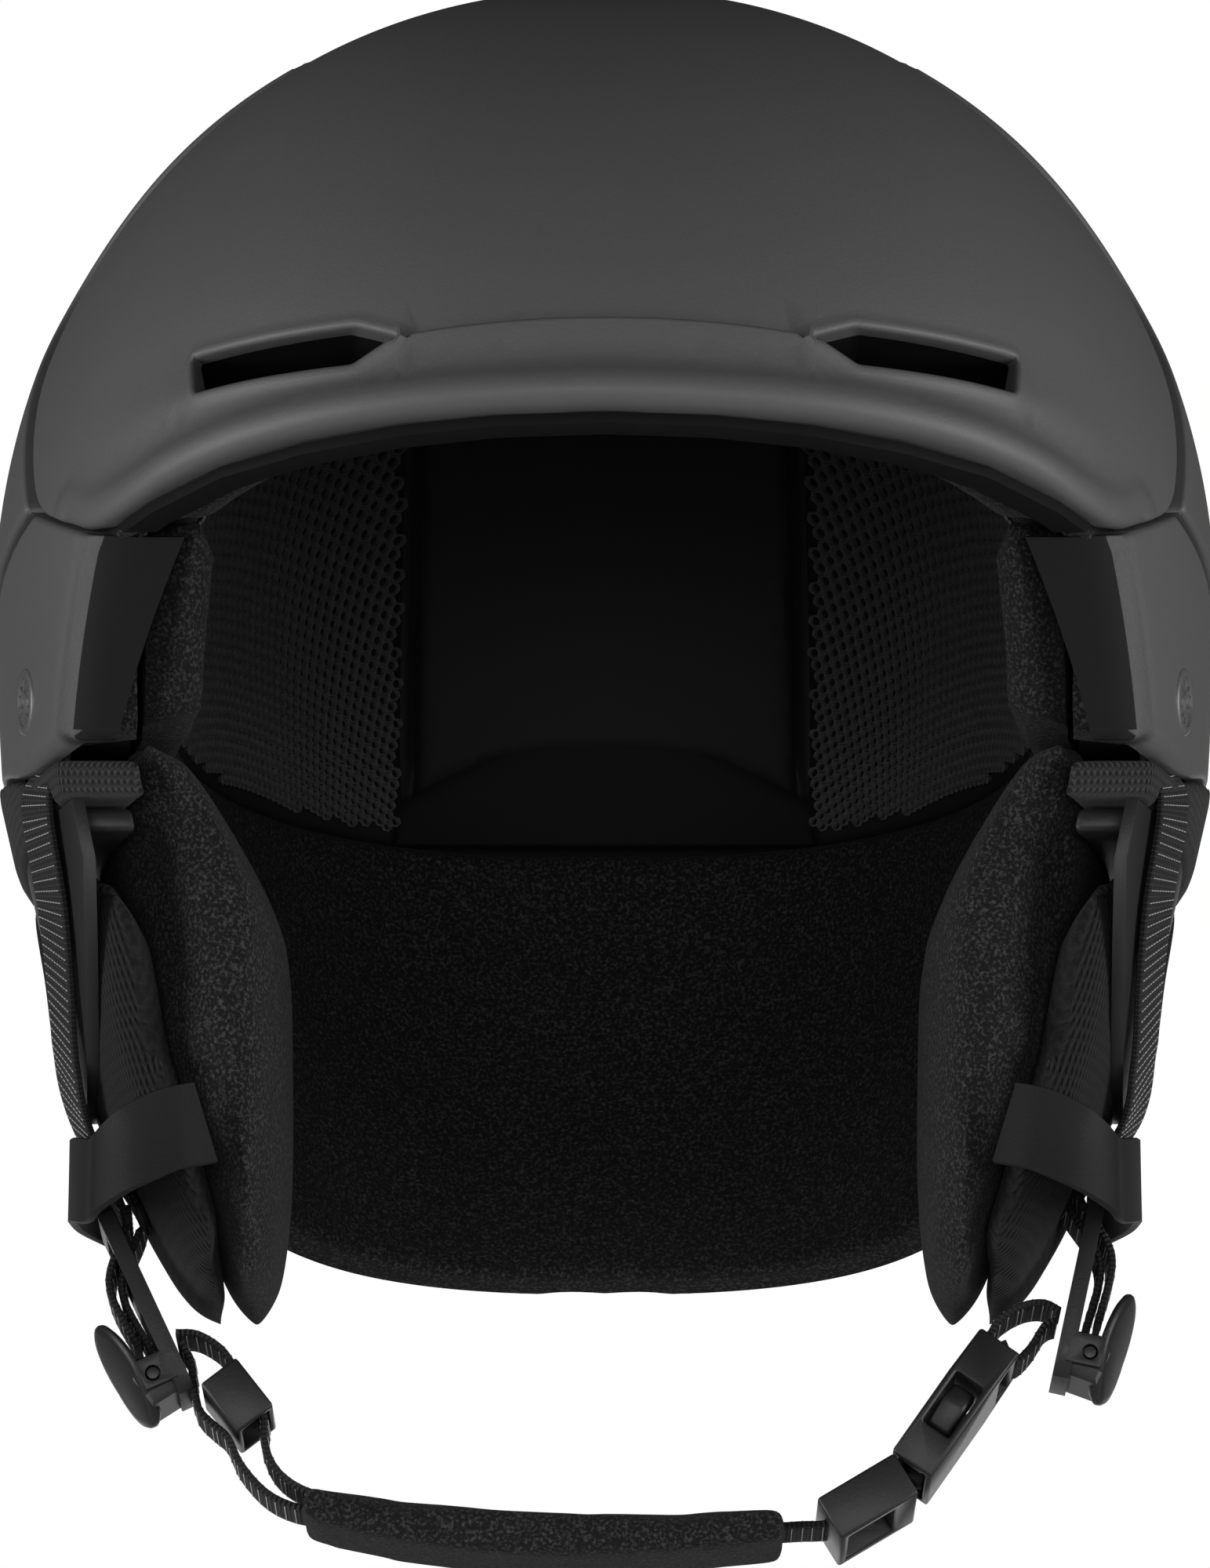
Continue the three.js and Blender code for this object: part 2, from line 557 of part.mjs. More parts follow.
// The block that holds the ear pad to the helmet, between the binding and the knit cover.
function mountPiece(side) {
  return plateWall(side, ear.plateFront + 5, ear.plateBack - 6, constant(ear.top - 7.4),
    constant(knitTop + 0.6), -12.4, -ear.plateThick - gap);
}
// A band sewn to the pad that holds both straps against the plate; it turns round the pad's front edge.
function keeperPiece(side) {
  const path = [
    [70, -54.6, -65.5], [76.5, -57, -67.5], [83.5, -56.4, -71], [88.4, -52, -73.5], [90.4, -44, -73.5],
    [92.8, -33, -71], [94.7, -20, -68], [95.4, -6, -65.5], [94.8, 8, -64], [92.6, 20, -63], [88.8, 30, -63],
  ];
  const stations = path.map(([x, y, z]) => ({ at: [side * x, y, z], across: [0, 0.12, 1] }));
  return ribbon(stations, 15, 1.4);
}

// ---- chin strap, hanging as a U between the dividers ----
const chin = { y: -8, padWidth: 27, padThick: 6 };
const acrossY = [0, 1, 0];
const at = (x, z, y = chin.y) => ({ at: [x, y, z], across: acrossY });
const glide = { x: -65.3, z: -106.6, angle: (-52 * Math.PI) / 180, length: 11, width: 21, thick: 8 };
const socket = { x: 62.2, z: -108.2, angle: (55 * Math.PI) / 180, length: 28, width: 27, thick: 8.4 };
const plug = { x: 46.4, z: -125.4, angle: (31 * Math.PI) / 180, length: 16, width: 27, thick: 8.4 };

// Local frame of a fitting on the strap: x along the strap, y across it, z out of its upper face.
function fittingMatrix({ x, z, angle }) {
  return new THREE.Matrix4().makeTranslation(x, chin.y, z).multiply(new THREE.Matrix4().makeRotationY(-angle));
}
const inFitting = (fitting, x, z) => {
  const p = new THREE.Vector3(x, 0, z).applyMatrix4(fittingMatrix(fitting));
  return { at: [p.x, p.y, p.z], across: acrossY };
};

function glidePiece() {
  const { length, width, thick } = glide;
  const body = box(length, width, thick, 0, 0, 0);
  const tunnel = box(length + 4, width - 4.4, thick - 2.2, 0, 0, 0);
  const centreBar = box(2.4, width, 1.4, 0, 0, 0);
  return body.subtract(tunnel).add(centreBar);
}

const prong = { length: 17, thick: 4.4, root: 4.2, reach: 9.4, half: 11.6 };
function socketPiece() {
  const { length, width, thick } = socket;
  const outline = [
    [-length / 2, -width / 2], [4, -width / 2], [length / 2, -width / 2 + 3.4], [length / 2, width / 2 - 3.4],
    [4, width / 2], [-length / 2, width / 2],
  ];
  const body = topCut(outline, -thick / 2, thick);
  const mouth = box(19, width - 4.4, thick - 2.6, -length / 2 + 9, 0, 0);
  const windows = box(11, width + 10, thick - 2.6, -length / 2 + 13, 0, 0);
  const strapSlot = box(3.4, width - 9, thick + 4, length / 2 - 4.2, 0, 0);
  return body.subtract(mouth).subtract(windows).subtract(strapSlot);
}
function plugPiece() {
  const { length, width, thick } = plug;
  const body = box(length, width, thick, 0, 0, 0);
  const window = box(9.6, width - 6, thick + 4, -1.4, 0, 0);
  const bars = box(2.4, width, 2.4, -1.4, 0, 1.4);
  return body.subtract(window).add(bars);
}
// The tongue and the two prongs point into the socket, so they use the socket's frame.
function tonguePiece() {
  return box(15, 5, 3, -socket.length / 2 + 7.1, 0, 0);
}
const prongRoot = -socket.length / 2 + 0.6;
function prongPiece(hand) {
  const outline = [
    [prongRoot, hand * 6.2], [prongRoot, hand * 9.2], [prongRoot + 7.2, hand * 9.6], [prongRoot + 7.2, hand * 12.2],
    [prongRoot + 13, hand * 13.4], [prongRoot + 16.4, hand * 11.4], [prongRoot + 16.4, hand * 7.6],
    [prongRoot + 6, hand * 6.6],
  ];
  return topCut(hand > 0 ? outline : outline.reverse(), -2.4, 4.8);
}

function buildChinStrap() {
  const leftDivider = dividerMatrix(dividerPlace.left);
  const rightDivider = dividerMatrix(dividerPlace.right);
  const fromFrame = (matrix, x, z) => {
    const p = new THREE.Vector3(x, 0, z).applyMatrix4(matrix);
    return { at: p.toArray(), across: acrossY };
  };
  const rightRun = [
    fromFrame(rightDivider, -5.6, 9.5), inFitting(glide, -9.5, 0.4), inFitting(glide, -6, 1.8), inFitting(glide, 6, 1.8),
    inFitting(glide, 9, 0.6), at(-58.5, -121.5), at(-54.4, -125.4),
  ];
  addNode("chin_strap_right", ribbon(rightRun, strap.width, 1.4), webbing);
  addNode("strap_slider", placed(glidePiece(), fittingMatrix(glide)), darkPlastic);

  const padLine2 = [at(-53.6, -125.6), at(-38, -129), at(-20, -131), at(-4, -131.8), at(14, -131.4), at(32, -129.4)];
  addNode("chin_pad", ribbon(padLine2, chin.padWidth, chin.padThick), fleece);
  const middleRun = [at(32.6, -129.3), at(35, -129), inFitting(plug, -8.6, 0.4)];
  addNode("chin_strap_middle", ribbon(middleRun, strap.width, 1.4), webbing);

  const tongue = placed(tonguePiece(), fittingMatrix(socket));
  addNode("buckle_socket", placed(socketPiece(), fittingMatrix(socket)), darkPlastic);
  addNode("buckle_plug", placed(plugPiece(), fittingMatrix(plug)).add(tongue), darkPlastic);
  for (const [word, hand] of [["front", -1], ["rear", 1]]) {
    addNode(`buckle_prong_${word}`, placed(prongPiece(hand), fittingMatrix(socket)), darkPlastic);
  }
  const leftRun = [
    inFitting(socket, socket.length / 2 + 0.6, 0), inFitting(socket, socket.length / 2 + 4.5, 0.6), at(79, -92.2),
    fromFrame(leftDivider, -5.6, 9.5),
  ];
  addNode("chin_strap_left", ribbon(leftRun, strap.width, 1.4), webbing);
}

// ---- dial fit system ----
const fit = {
  centreY: 27, // the bands turn about this vertical axis
  radius: 81, // inner radius of the inner band
  bandThick: 1.5,
  bandHeight: 13,
  z: -40,
  overlap: 0.25, // how far each band runs past the middle, in radians
  reach: 1.35, // how far each band runs round the side, in radians
  pitchRadius: 4,
  teeth: 8,
  toothDepth: 1.5,
};
const pitch = (2 * Math.PI * fit.pitchRadius) / fit.teeth;
const aroundBack = (radius, angle, z) =>
  new THREE.Vector3(radius * Math.sin(angle), fit.centreY + radius * Math.cos(angle), z);

// A curved slab round the back of the head, from one angle to another.
function arcSlab(inner, outer, from, to, low, high, steps = 24) {
  const rings = Array.from({ length: steps + 1 }, (_, i) => {
    const angle = from + ((to - from) * i) / steps;
    return [[inner, low], [outer, low], [outer, high], [inner, high]].map(([r, z]) => aroundBack(r, angle, z));
  });
  return loft(rings);
}

function bandPiece(side) {
  const inner = fit.radius + (side > 0 ? 0 : fit.bandThick + gap);
  const outer = inner + fit.bandThick;
  const half = fit.bandHeight / 2;
  const slab = arcSlab(inner, outer, -side * fit.overlap, side * fit.reach, fit.z - half, fit.z + half);
  const slotHalf = fit.pitchRadius + 1.1;
  const slotFrom = -side * (fit.overlap - 0.04);
  const slot = arcSlab(inner - 2, outer + 2, slotFrom, side * 0.12, fit.z - slotHalf, fit.z + slotHalf, 8);
  let band = slab.subtract(slot);
  const edge = side; // the left band has its teeth above the pinion, the right one below it
  const count = 7;
  for (let i = 0; i < count; i++) {
    const angle = (side * (i - count + 2) * pitch) / fit.radius;
    const root = 0.62 / fit.radius;
    const tip = 0.3 / fit.radius;
    const base = fit.z + edge * (slotHalf + 0.3);
    const top = fit.z + edge * (fit.pitchRadius - 0.35);
    const tooth = [[-root, base], [root, base], [tip, top], [-tip, top]];
    const ringAtRadius = (r) => tooth.map(([a, z]) => aroundBack(r, angle + a, z));
    band = band.add(loft([ringAtRadius(inner + 0.02), ringAtRadius(outer - 0.02)]));
  }
  return band;
}

const dialY = fit.centreY + fit.radius;
function pinionPiece() {
  const outline = [];
  for (let i = 0; i < fit.teeth; i++) {
    const turn = (2 * Math.PI * (i + 0.5)) / fit.teeth;
    for (const [r, a] of [[3.05, -0.27], [4.55, -0.11], [4.55, 0.11], [3.05, 0.27]]) {
      outline.push([r * Math.sin(turn + a), fit.z + r * Math.cos(turn + a)]);
    }
  }
  const gear = frontCut(outline, dialY + 3.35, 3.8);
  const hub = bar(new THREE.Vector3(0, dialY + 3.3, fit.z), new THREE.Vector3(0, dialY + 11.4, fit.z), 2.6, 20);
  return gear.add(hub);
}
function knobPiece() {
  const outline = [];
  const lobes = 18;
  for (let i = 0; i < 2 * lobes; i++) {
    const turn = (Math.PI * i) / lobes;
    const r = i % 2 ? 12.2 : 13.2;
    outline.push([r * Math.sin(turn), fit.z + r * Math.cos(turn)]);
  }
  const knob = frontCut(outline, dialY + 16.5, 7.3);
  const bore = bar(new THREE.Vector3(0, dialY, fit.z), new THREE.Vector3(0, dialY + 12.2, fit.z), 2.95, 20);
  return knob.subtract(bore);
}

function buildFitSystem() {
  const back = fit.radius + 2 * fit.bandThick + 2 * gap;
  const hubHole = bar(new THREE.Vector3(0, dialY - 20, fit.z), new THREE.Vector3(0, dialY + 30, fit.z), 3, 20);
  const plate = arcSlab(back, back + 2.2, -0.62, 0.62, fit.z - 11, fit.z + 12, 20);
  const lips = arcSlab(fit.radius - gap, back + 1, -0.62, 0.62, fit.z + 7, fit.z + 9, 20)
    .add(arcSlab(fit.radius - gap, back + 1, -0.62, 0.62, fit.z - 9, fit.z - 7, 20));
  addNode("fit_yoke", plate.add(lips).subtract(hubHole), darkPlastic);
  const cover = arcSlab(fit.radius - 2.2, fit.radius - gap - 0.3, -0.62, 0.62, fit.z - 11, fit.z + 12, 20);
  addNode("fit_yoke_cover", cover, darkPlastic);
  addNode("fit_band_left", bandPiece(1), darkPlastic);
  addNode("fit_band_right", bandPiece(-1), darkPlastic);
  addNode("dial_pinion", pinionPiece(), darkPlastic);
  addNode("dial_knob", knobPiece(), rubber);
}

// ---- goggle strap clip at the back ----
const clip = { z: 4, y: 139.5, width: 22, height: 34 };
function buildGoggleClip() {
  const { z, y, width, height } = clip;
  const seat = box(width, 5, height, 0, y, z);
  const base = seat.subtract(dome(layer.rearProud - gap));
  const pinY = y + 7;
  const pinZ = z + height / 2 - 3;
  const across = (half, radius) =>
    bar(new THREE.Vector3(-half, pinY, pinZ), new THREE.Vector3(half, pinY, pinZ), radius);
  const knuckle = box(5, 7.4, 5.6, -width / 2 + 2.5, pinY - 1, pinZ);
  const knuckles = knuckle.add(knuckle.mirror([1, 0, 0]));
  const pinHole = across(30, 1.35);
  addNode("goggle_clip_base", base.add(knuckles).subtract(pinHole), darkPlastic);
  addNode("goggle_clip_pin", across(width / 2 - 0.3, 1), steel);
  const flap = box(width - 11, 2.6, height - 4, 0, pinY + 1.3, z - 2.4);
  addNode("goggle_clip_flap", flap.add(across(width / 2 - 5.5, 2.6)).subtract(pinHole), rubber);
}

buildShells();
const strapPockets = buildStraps();
buildLiner(strapPockets);
buildEarPads();
buildChinStrap();
buildFitSystem();
buildGoggleClip();

export default helmet;
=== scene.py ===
import json
import math

import bmesh
import bpy
import numpy as np
from mathutils import Matrix, Vector
from mathutils.geometry import delaunay_2d_cdt


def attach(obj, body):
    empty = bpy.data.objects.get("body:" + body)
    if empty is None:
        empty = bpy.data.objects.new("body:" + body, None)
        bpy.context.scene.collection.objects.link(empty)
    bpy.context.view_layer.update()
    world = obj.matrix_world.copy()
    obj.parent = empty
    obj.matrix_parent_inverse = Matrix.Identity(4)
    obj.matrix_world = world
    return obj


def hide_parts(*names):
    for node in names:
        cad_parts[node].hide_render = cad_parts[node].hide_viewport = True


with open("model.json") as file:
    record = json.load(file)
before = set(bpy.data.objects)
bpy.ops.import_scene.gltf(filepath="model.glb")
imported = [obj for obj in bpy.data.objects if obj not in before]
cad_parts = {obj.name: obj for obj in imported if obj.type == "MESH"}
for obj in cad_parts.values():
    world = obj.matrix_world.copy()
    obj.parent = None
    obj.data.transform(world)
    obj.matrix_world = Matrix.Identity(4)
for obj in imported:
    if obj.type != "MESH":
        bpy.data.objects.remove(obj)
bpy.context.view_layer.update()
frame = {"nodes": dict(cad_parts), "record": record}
nodes = frame["nodes"]
mm = 0.001
print("frame loaded:", len(nodes), "nodes")

# ---- camera, lights, floor ----
view = {"aim": (0, 0, 0.0104), "distance": 1.8, "lookUp": 15, "fieldWidth": 0.2204}


def makeCamera():
    up = math.radians(view["lookUp"])
    aim = Vector(view["aim"])
    spot = aim + view["distance"] * Vector((0, -math.cos(up), -math.sin(up)))
    data = bpy.data.cameras.new("camera")
    data.sensor_fit = "HORIZONTAL"
    data.angle = 2 * math.atan(view["fieldWidth"] / 2 / view["distance"])
    camera = bpy.data.objects.new("camera", data)
    bpy.context.scene.collection.objects.link(camera)
    turn = (aim - spot).to_track_quat("-Z", "Y")
    camera.matrix_world = Matrix.Translation(spot) @ turn.to_matrix().to_4x4()
    bpy.context.scene.camera = camera


def softLight(name, spot, aim, size, watts):
    data = bpy.data.lights.new(name, "AREA")
    data.shape = "RECTANGLE"
    data.size, data.size_y = size
    data.energy = watts
    lamp = bpy.data.objects.new(name, data)
    bpy.context.scene.collection.objects.link(lamp)
    turn = (Vector(aim) - Vector(spot)).to_track_quat("-Z", "Y")
    lamp.matrix_world = Matrix.Translation(spot) @ turn.to_matrix().to_4x4()


def makeWorld(pale, glow):
    world = bpy.data.worlds.new("paleStudio")
    bpy.context.scene.world = world
    world.use_nodes = True
    tree = world.node_tree
    seen = tree.nodes["Background"]
    seen.inputs["Color"].default_value = (1, 1, 1, 1)
    seen.inputs["Strength"].default_value = pale
    lit = tree.nodes.new("ShaderNodeBackground")
    lit.inputs["Color"].default_value = (1, 1, 1, 1)
    lit.inputs["Strength"].default_value = glow
    mix = tree.nodes.new("ShaderNodeMixShader")
    path = tree.nodes.new("ShaderNodeLightPath")
    tree.links.new(path.outputs["Is Camera Ray"], mix.inputs["Fac"])
    tree.links.new(lit.outputs[0], mix.inputs[1])
    tree.links.new(seen.outputs[0], mix.inputs[2])
    tree.links.new(mix.outputs[0], tree.nodes["World Output"].inputs[0])


makeCamera()
makeWorld(pale=1.0, glow=0.035)
bpy.context.scene.view_settings.view_transform = "Standard"
softLight("leftBox", (-1.5, -0.6, -0.12), (0, 0, 0.0), (1.0, 1.1), 29)
softLight("rightBox", (1.5, -0.6, -0.12), (0, 0, 0.0), (1.0, 1.1), 29)
softLight("frontBox", (0, -2.5, -0.35), (0, 0, 0.0), (2.0, 0.8), 30)
softLight("backFill", (0, 2.3, 0.0), (0, 0, 0), (1.8, 1.0), 10)
print("camera and lights made")


# ---- materials ----
def nodeGroup(name, inputs, outputs):
    tree = bpy.data.node_groups.new(name, "ShaderNodeTree")
    for label, kind, value in inputs:
        socket = tree.interface.new_socket(label, in_out="INPUT", socket_type=kind)
        if value is not None:
            socket.default_value = value
    for label, kind in outputs:
        tree.interface.new_socket(label, in_out="OUTPUT", socket_type=kind)
    return tree, tree.nodes.new("NodeGroupInput"), tree.nodes.new("NodeGroupOutput")


def addNode(tree, kind, links=(), **settings):
    node = tree.nodes.new(kind)
    for key, value in settings.items():
        if hasattr(node, key):
            setattr(node, key, value)
        else:
            node.inputs[key.replace("_", " ")].default_value = value
    for socket, source in dict(links).items():
        tree.links.new(source, node.inputs[socket])
    return node


def mathNode(tree, operation, a, b=None):
    node = tree.nodes.new("ShaderNodeMath")
    node.operation = operation
    for slot, value in ((0, a), (1, b)):
        if value is None:
            continue
        if isinstance(value, (int, float)):
            node.inputs[slot].default_value = value
        else:
            tree.links.new(value, node.inputs[slot])
    return node.outputs[0]


# A fine noise that gives a small change of tone, of gloss and of height.
def makeGrainGroup():
    tree, given, out = nodeGroup(
        "fineGrain",
        [("Vector", "NodeSocketVector", None), ("Scale", "NodeSocketFloat", 900.0),
         ("Tone", "NodeSocketFloat", 0.1), ("Color", "NodeSocketColor", None),
         ("Roughness", "NodeSocketFloat", 0.5), ("Roughness Change", "NodeSocketFloat", 0.05)],
        [("Color", "NodeSocketColor"), ("Roughness", "NodeSocketFloat"), ("Height", "NodeSocketFloat")])
    fine = addNode(tree, "ShaderNodeTexNoise", Detail=3.0, Roughness=0.6,
                   links={"Vector": given.outputs["Vector"], "Scale": given.outputs["Scale"]})
    broad = addNode(tree, "ShaderNodeTexNoise", Scale=28.0, Detail=2.0,
                    links={"Vector": given.outputs["Vector"]})
    centred = mathNode(tree, "SUBTRACT", fine.outputs["Fac"], 0.5)
    swing = mathNode(tree, "MULTIPLY", centred, given.outputs["Tone"])
    slow = mathNode(tree, "MULTIPLY", mathNode(tree, "SUBTRACT", broad.outputs["Fac"], 0.5), 0.12)
    bright = mathNode(tree, "ADD", mathNode(tree, "ADD", swing, slow), 1.0)
    tint = addNode(tree, "ShaderNodeVectorMath", operation="SCALE",
                   links={0: given.outputs["Color"], "Scale": bright})
    tree.links.new(tint.outputs[0], out.inputs["Color"])
    rough = mathNode(tree, "MULTIPLY", centred, given.outputs["Roughness Change"])
    tree.links.new(mathNode(tree, "ADD", rough, given.outputs["Roughness"]), out.inputs["Roughness"])
    tree.links.new(fine.outputs["Fac"], out.inputs["Height"])
    return tree


grainGroup = makeGrainGroup()


def startMaterial(name, **uniform):
    made = bpy.data.materials.new(name)
    made.use_nodes = True
    tree = made.node_tree
    shader = tree.nodes["Principled BSDF"]
    for key, value in uniform.items():
        shader.inputs[key.replace("_", " ")].default_value = value
    return made, tree, shader


def objectCoordinates(tree):
    return tree.nodes.new("ShaderNodeTexCoord").outputs["Object"]


def bumpFrom(tree, shader, height, distance):
    bump = addNode(tree, "ShaderNodeBump", Strength=1.0, Distance=distance, links={"Height": height})
    tree.links.new(bump.outputs["Normal"], shader.inputs["Normal"])


def plastic(name, grey, roughness, grain=1400.0, bump=0.00004, tone=0.1, specular=0.5):
    made, tree, shader = startMaterial(name, Specular_IOR_Level=specular)
    group = addNode(tree, "ShaderNodeGroup", node_tree=grainGroup, Scale=grain, Tone=tone,
                    Color=(grey, grey, grey, 1), Roughness=roughness, Roughness_Change=0.08)
    tree.links.new(objectCoordinates(tree), group.inputs["Vector"])
    tree.links.new(group.outputs["Color"], shader.inputs["Base Color"])
    tree.links.new(group.outputs["Roughness"], shader.inputs["Roughness"])
    bumpFrom(tree, shader, group.outputs["Height"], bump)
    return made


shellGrey = plastic("shellGrey", 0.052, 0.55, grain=1700, bump=0.00005, tone=0.16, specular=0.35)
flangeBlack = plastic("flangeBlack", 0.0055, 0.65, tone=0.1, specular=0.08)
partBlack = plastic("partBlack", 0.009, 0.45, specular=0.28)
foamBlack = plastic("foamBlack", 0.005, 0.65, grain=500, bump=0.0001, specular=0.12)
rubberBlack = plastic("rubberBlack", 0.004, 0.7, specular=0.06)
steelGrey = plastic("steelGrey", 0.4, 0.3)
pinDark = plastic("pinDark", 0.012, 0.4, specular=0.3)


# ---- meshes ----
def finishMesh(name, verts, faces, look, sharp=38, merge=None):
    mesh = bpy.data.meshes.new(name)
    mesh.from_pydata([tuple(v) for v in verts], [], [tuple(f) for f in faces])
    shape = bmesh.new()
    shape.from_mesh(mesh)
    if merge:
        bmesh.ops.remove_doubles(shape, verts=shape.verts, dist=merge)
    bmesh.ops.recalc_face_normals(shape, faces=shape.faces)
    shape.to_mesh(mesh)
    shape.free()
    mesh.shade_smooth()
    mesh.set_sharp_from_angle(angle=math.radians(sharp))
    mesh.materials.append(look)
    piece = bpy.data.objects.new(name, mesh)
    bpy.context.scene.collection.objects.link(piece)
    return piece


# Quads between rings of points that follow each other in one list.
def ringFaces(rings, around, start=0):
    return [(start + i * around + j, start + i * around + (j + 1) % around,
             start + (i + 1) * around + (j + 1) % around, start + (i + 1) * around + j)
            for i in range(rings - 1) for j in range(around)]


def settle(piece, body, slot, *stoodFor):
    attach(piece, body)
    if stoodFor:
        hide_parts(*stoodFor)
    return piece


# ---- the helmet's form, the same rule as the frame's ----
form = {"halfWidth": 0.110, "front": 0.133, "rear": 0.141, "rise": 0.115, "waist": 0.038, "power": 2.1,
        "sideTaper": 0.126, "rearTaper": 0.3, "lengthInset": 1.25, "dropPerTurn": 0.165}
cavity = {"power": 2.4, "flareWide": 0.15, "flareFrom": 0.045, "flareOver": 0.05, "browLift": 0.056,
          "browDepth": 0.016, "browFlare": 0.2}
layer = {"rearProud": -0.0015, "panelProud": -0.0006, "visorProud": 0.0016, "shellIn": 0.0026,
         "foamOut": 0.0032, "foamIn": 0.020, "slipOut": 0.0204, "slipIn": 0.0216, "padOut": 0.022,
         "padIn": 0.029, "fleeceIn": 0.0305}
gap = 0.0004


def sectionAt(inset, z):
    power = form["power"]
    climb = np.clip((z - form["waist"]) / (form["rise"] - inset), 0, 1)
    drop = np.maximum(0, form["waist"] - z) / 0.1
    share = (1 - climb ** power) ** (1 / power)
    side = (form["halfWidth"] - inset) * share * (1 - form["sideTaper"] * drop ** 2)
    front = (form["front"] - form["lengthInset"] * inset) * share
    rear = (form["rear"] - form["lengthInset"] * inset) * share * (1 - form["rearTaper"] * drop ** 2)
    return side, front, rear


# Points of a dome, from how far they are from the crown (1 at the waist) and their turn from the back.
def domePoints(fall, turn, inset, hollow=False):
    power = cavity["power"] if hollow else form["power"]
    t = np.minimum(fall, 1) * math.pi / 2
    high = form["waist"] + (form["rise"] - inset) * np.maximum(np.cos(t), 0) ** (2 / form["power"])
    z = np.where(fall <= 1, high, form["waist"] - (fall - 1) * form["dropPerTurn"])
    side, front, rear = sectionAt(inset, z)
    rounded = lambda v: np.sign(v) * np.abs(v) ** (2 / power)
    along = rounded(np.cos(turn))
    x = side * rounded(np.sin(turn))
    y = np.where(along < 0, front, rear) * along
    if hollow:
        lift = np.clip((cavity["browLift"] - z) / cavity["browDepth"], 0, 1.2) * np.clip(-y / 0.09, 0, 1)
        x = x * (1 + cavity["flareWide"] * np.clip((-y - cavity["flareFrom"]) / cavity["flareOver"], 0, 1))
        y = y * (1 + cavity["browFlare"] * lift)
    return np.stack([x, y, z], -1)


def fallAt(z, inset):
    climb = np.clip((z - form["waist"]) / (form["rise"] - inset), 0, 1)
    high = np.arccos(climb ** (form["power"] / 2)) / (math.pi / 2)
    return np.where(z >= form["waist"], high, 1 + (form["waist"] - z) / form["dropPerTurn"])


turns = np.linspace(0, math.pi, 721)


# From side view (y, z) to the flat map (u, v) of a dome, on the wearer's left; None off the dome.
def mapSide(y, z, inset, hollow=False):
    if z > form["waist"] + (form["rise"] - inset) - 1e-5:
        return None
    fall = float(fallAt(np.array(z), inset))
    ys = domePoints(np.full_like(turns, fall), turns, inset, hollow)[:, 1]
    if y > ys[0] or y < ys[-1]:
        return None
    turn = float(np.interp(y, ys[::-1], turns[::-1]))
    return fall * math.sin(turn), fall * math.cos(turn)


# The same from front view (x, z), on the face side or the back.
def mapFront(x, z, inset, hollow=False, behind=False):
    fall = float(fallAt(np.array(z), inset))
    half = turns[:361] if behind else turns[360:]
    xs = domePoints(np.full_like(half, fall), half, inset, hollow)[:, 0]
    order = np.argsort(xs)
    turn = float(np.interp(abs(x), xs[order], half[order]))
    return math.copysign(fall * math.sin(turn), x), fall * math.cos(turn)


# The same from above (x, y).
def mapTop(x, y, inset, hollow=False):
    power = cavity["power"] if hollow else form["power"]
    length = (form["front"] if y < 0 else form["rear"]) - form["lengthInset"] * inset
    a, b = (abs(x) / (form["halfWidth"] - inset)) ** power, (abs(y) / length) ** power
    share = min(1, a + b) ** (1 / power)
    fall = math.asin(share ** (form["power"] / 2)) / (math.pi / 2)
    turn = math.atan2(math.sqrt(a), math.copysign(math.sqrt(b), y))
    return math.copysign(fall * math.sin(turn), x), fall * math.cos(turn)


# Small turns of a line are rounded off and sharp corners stay.
def soften(line, rounds=3, keep=48):
    points = [np.array(p, float) for p in line]
    for _ in range(rounds):
        made = [points[0]]
        for before, here, after in zip(points, points[1:], points[2:]):
            a, b = here - before, after - here
            cosine = a @ b / (np.linalg.norm(a) * np.linalg.norm(b) + 1e-12)
            if cosine < math.cos(math.radians(keep)):
                made.append(here)
            else:
                made += [here - a * 0.25, here + b * 0.25]
        points = made + [points[-1]]
    return np.array(points)


def resample(points, count):
    points = np.asarray(points, float)
    run = np.concatenate([[0], np.cumsum(np.linalg.norm(np.diff(points, axis=0), axis=1))])
    at = np.linspace(0, run[-1], count)
    return np.stack([np.interp(at, run, points[:, k]) for k in range(points.shape[1])], -1)


# A side-view line (millimetres) that enters and leaves across the middle of the dome, as a closed loop.
def loopFromSide(line, inset, hollow=False, count=400):
    dense = resample(soften(line), 6000) * mm
    spots = [mapSide(y, z, inset, hollow) for y, z in dense[::3]]
    first = next(i for i, s in enumerate(spots) if s)
    last = next(i for i in range(len(spots) - 1, -1, -1) if spots[i])
    half = np.array([s for s in spots[first:last + 1] if s])
    half[0, 0] = half[-1, 0] = 0
    half = resample(half, count // 2 + 1)
    other = half[1:-1][::-1] * [-1, 1]
    return np.concatenate([half, other])


cornerCut = (1.1, 0.24)  # millimetres from a corner at which its cut is drawn


# An outline with small cut corners, as a loop of evenly spaced map points.
def closedLoop(outline, count, place):
    line = []
    for before, here, after in zip(np.roll(outline, 1, 0), outline, np.roll(outline, -1, 0)):
        for other, back in ((before, cornerCut), (after, cornerCut[::-1])):
            line += [here + (other - here) / np.linalg.norm(other - here) * far for far in back]
    line = np.array([*line, line[0]])
    return np.array([place(a, b) for a, b in resample(line * mm, count + 1)[:-1]])


def insideLoop(points, loop):
    x, y = points[:, 0:1], points[:, 1:2]
    x0, y0 = loop[:, 0], loop[:, 1]
    x1, y1 = np.roll(x0, -1), np.roll(y0, -1)
    crosses = ((y0 > y) != (y1 > y)) & (x < (x1 - x0) * (y - y0) / np.where(y1 == y0, 1e-12, y1 - y0) + x0)
    return crosses.sum(1) % 2 == 1


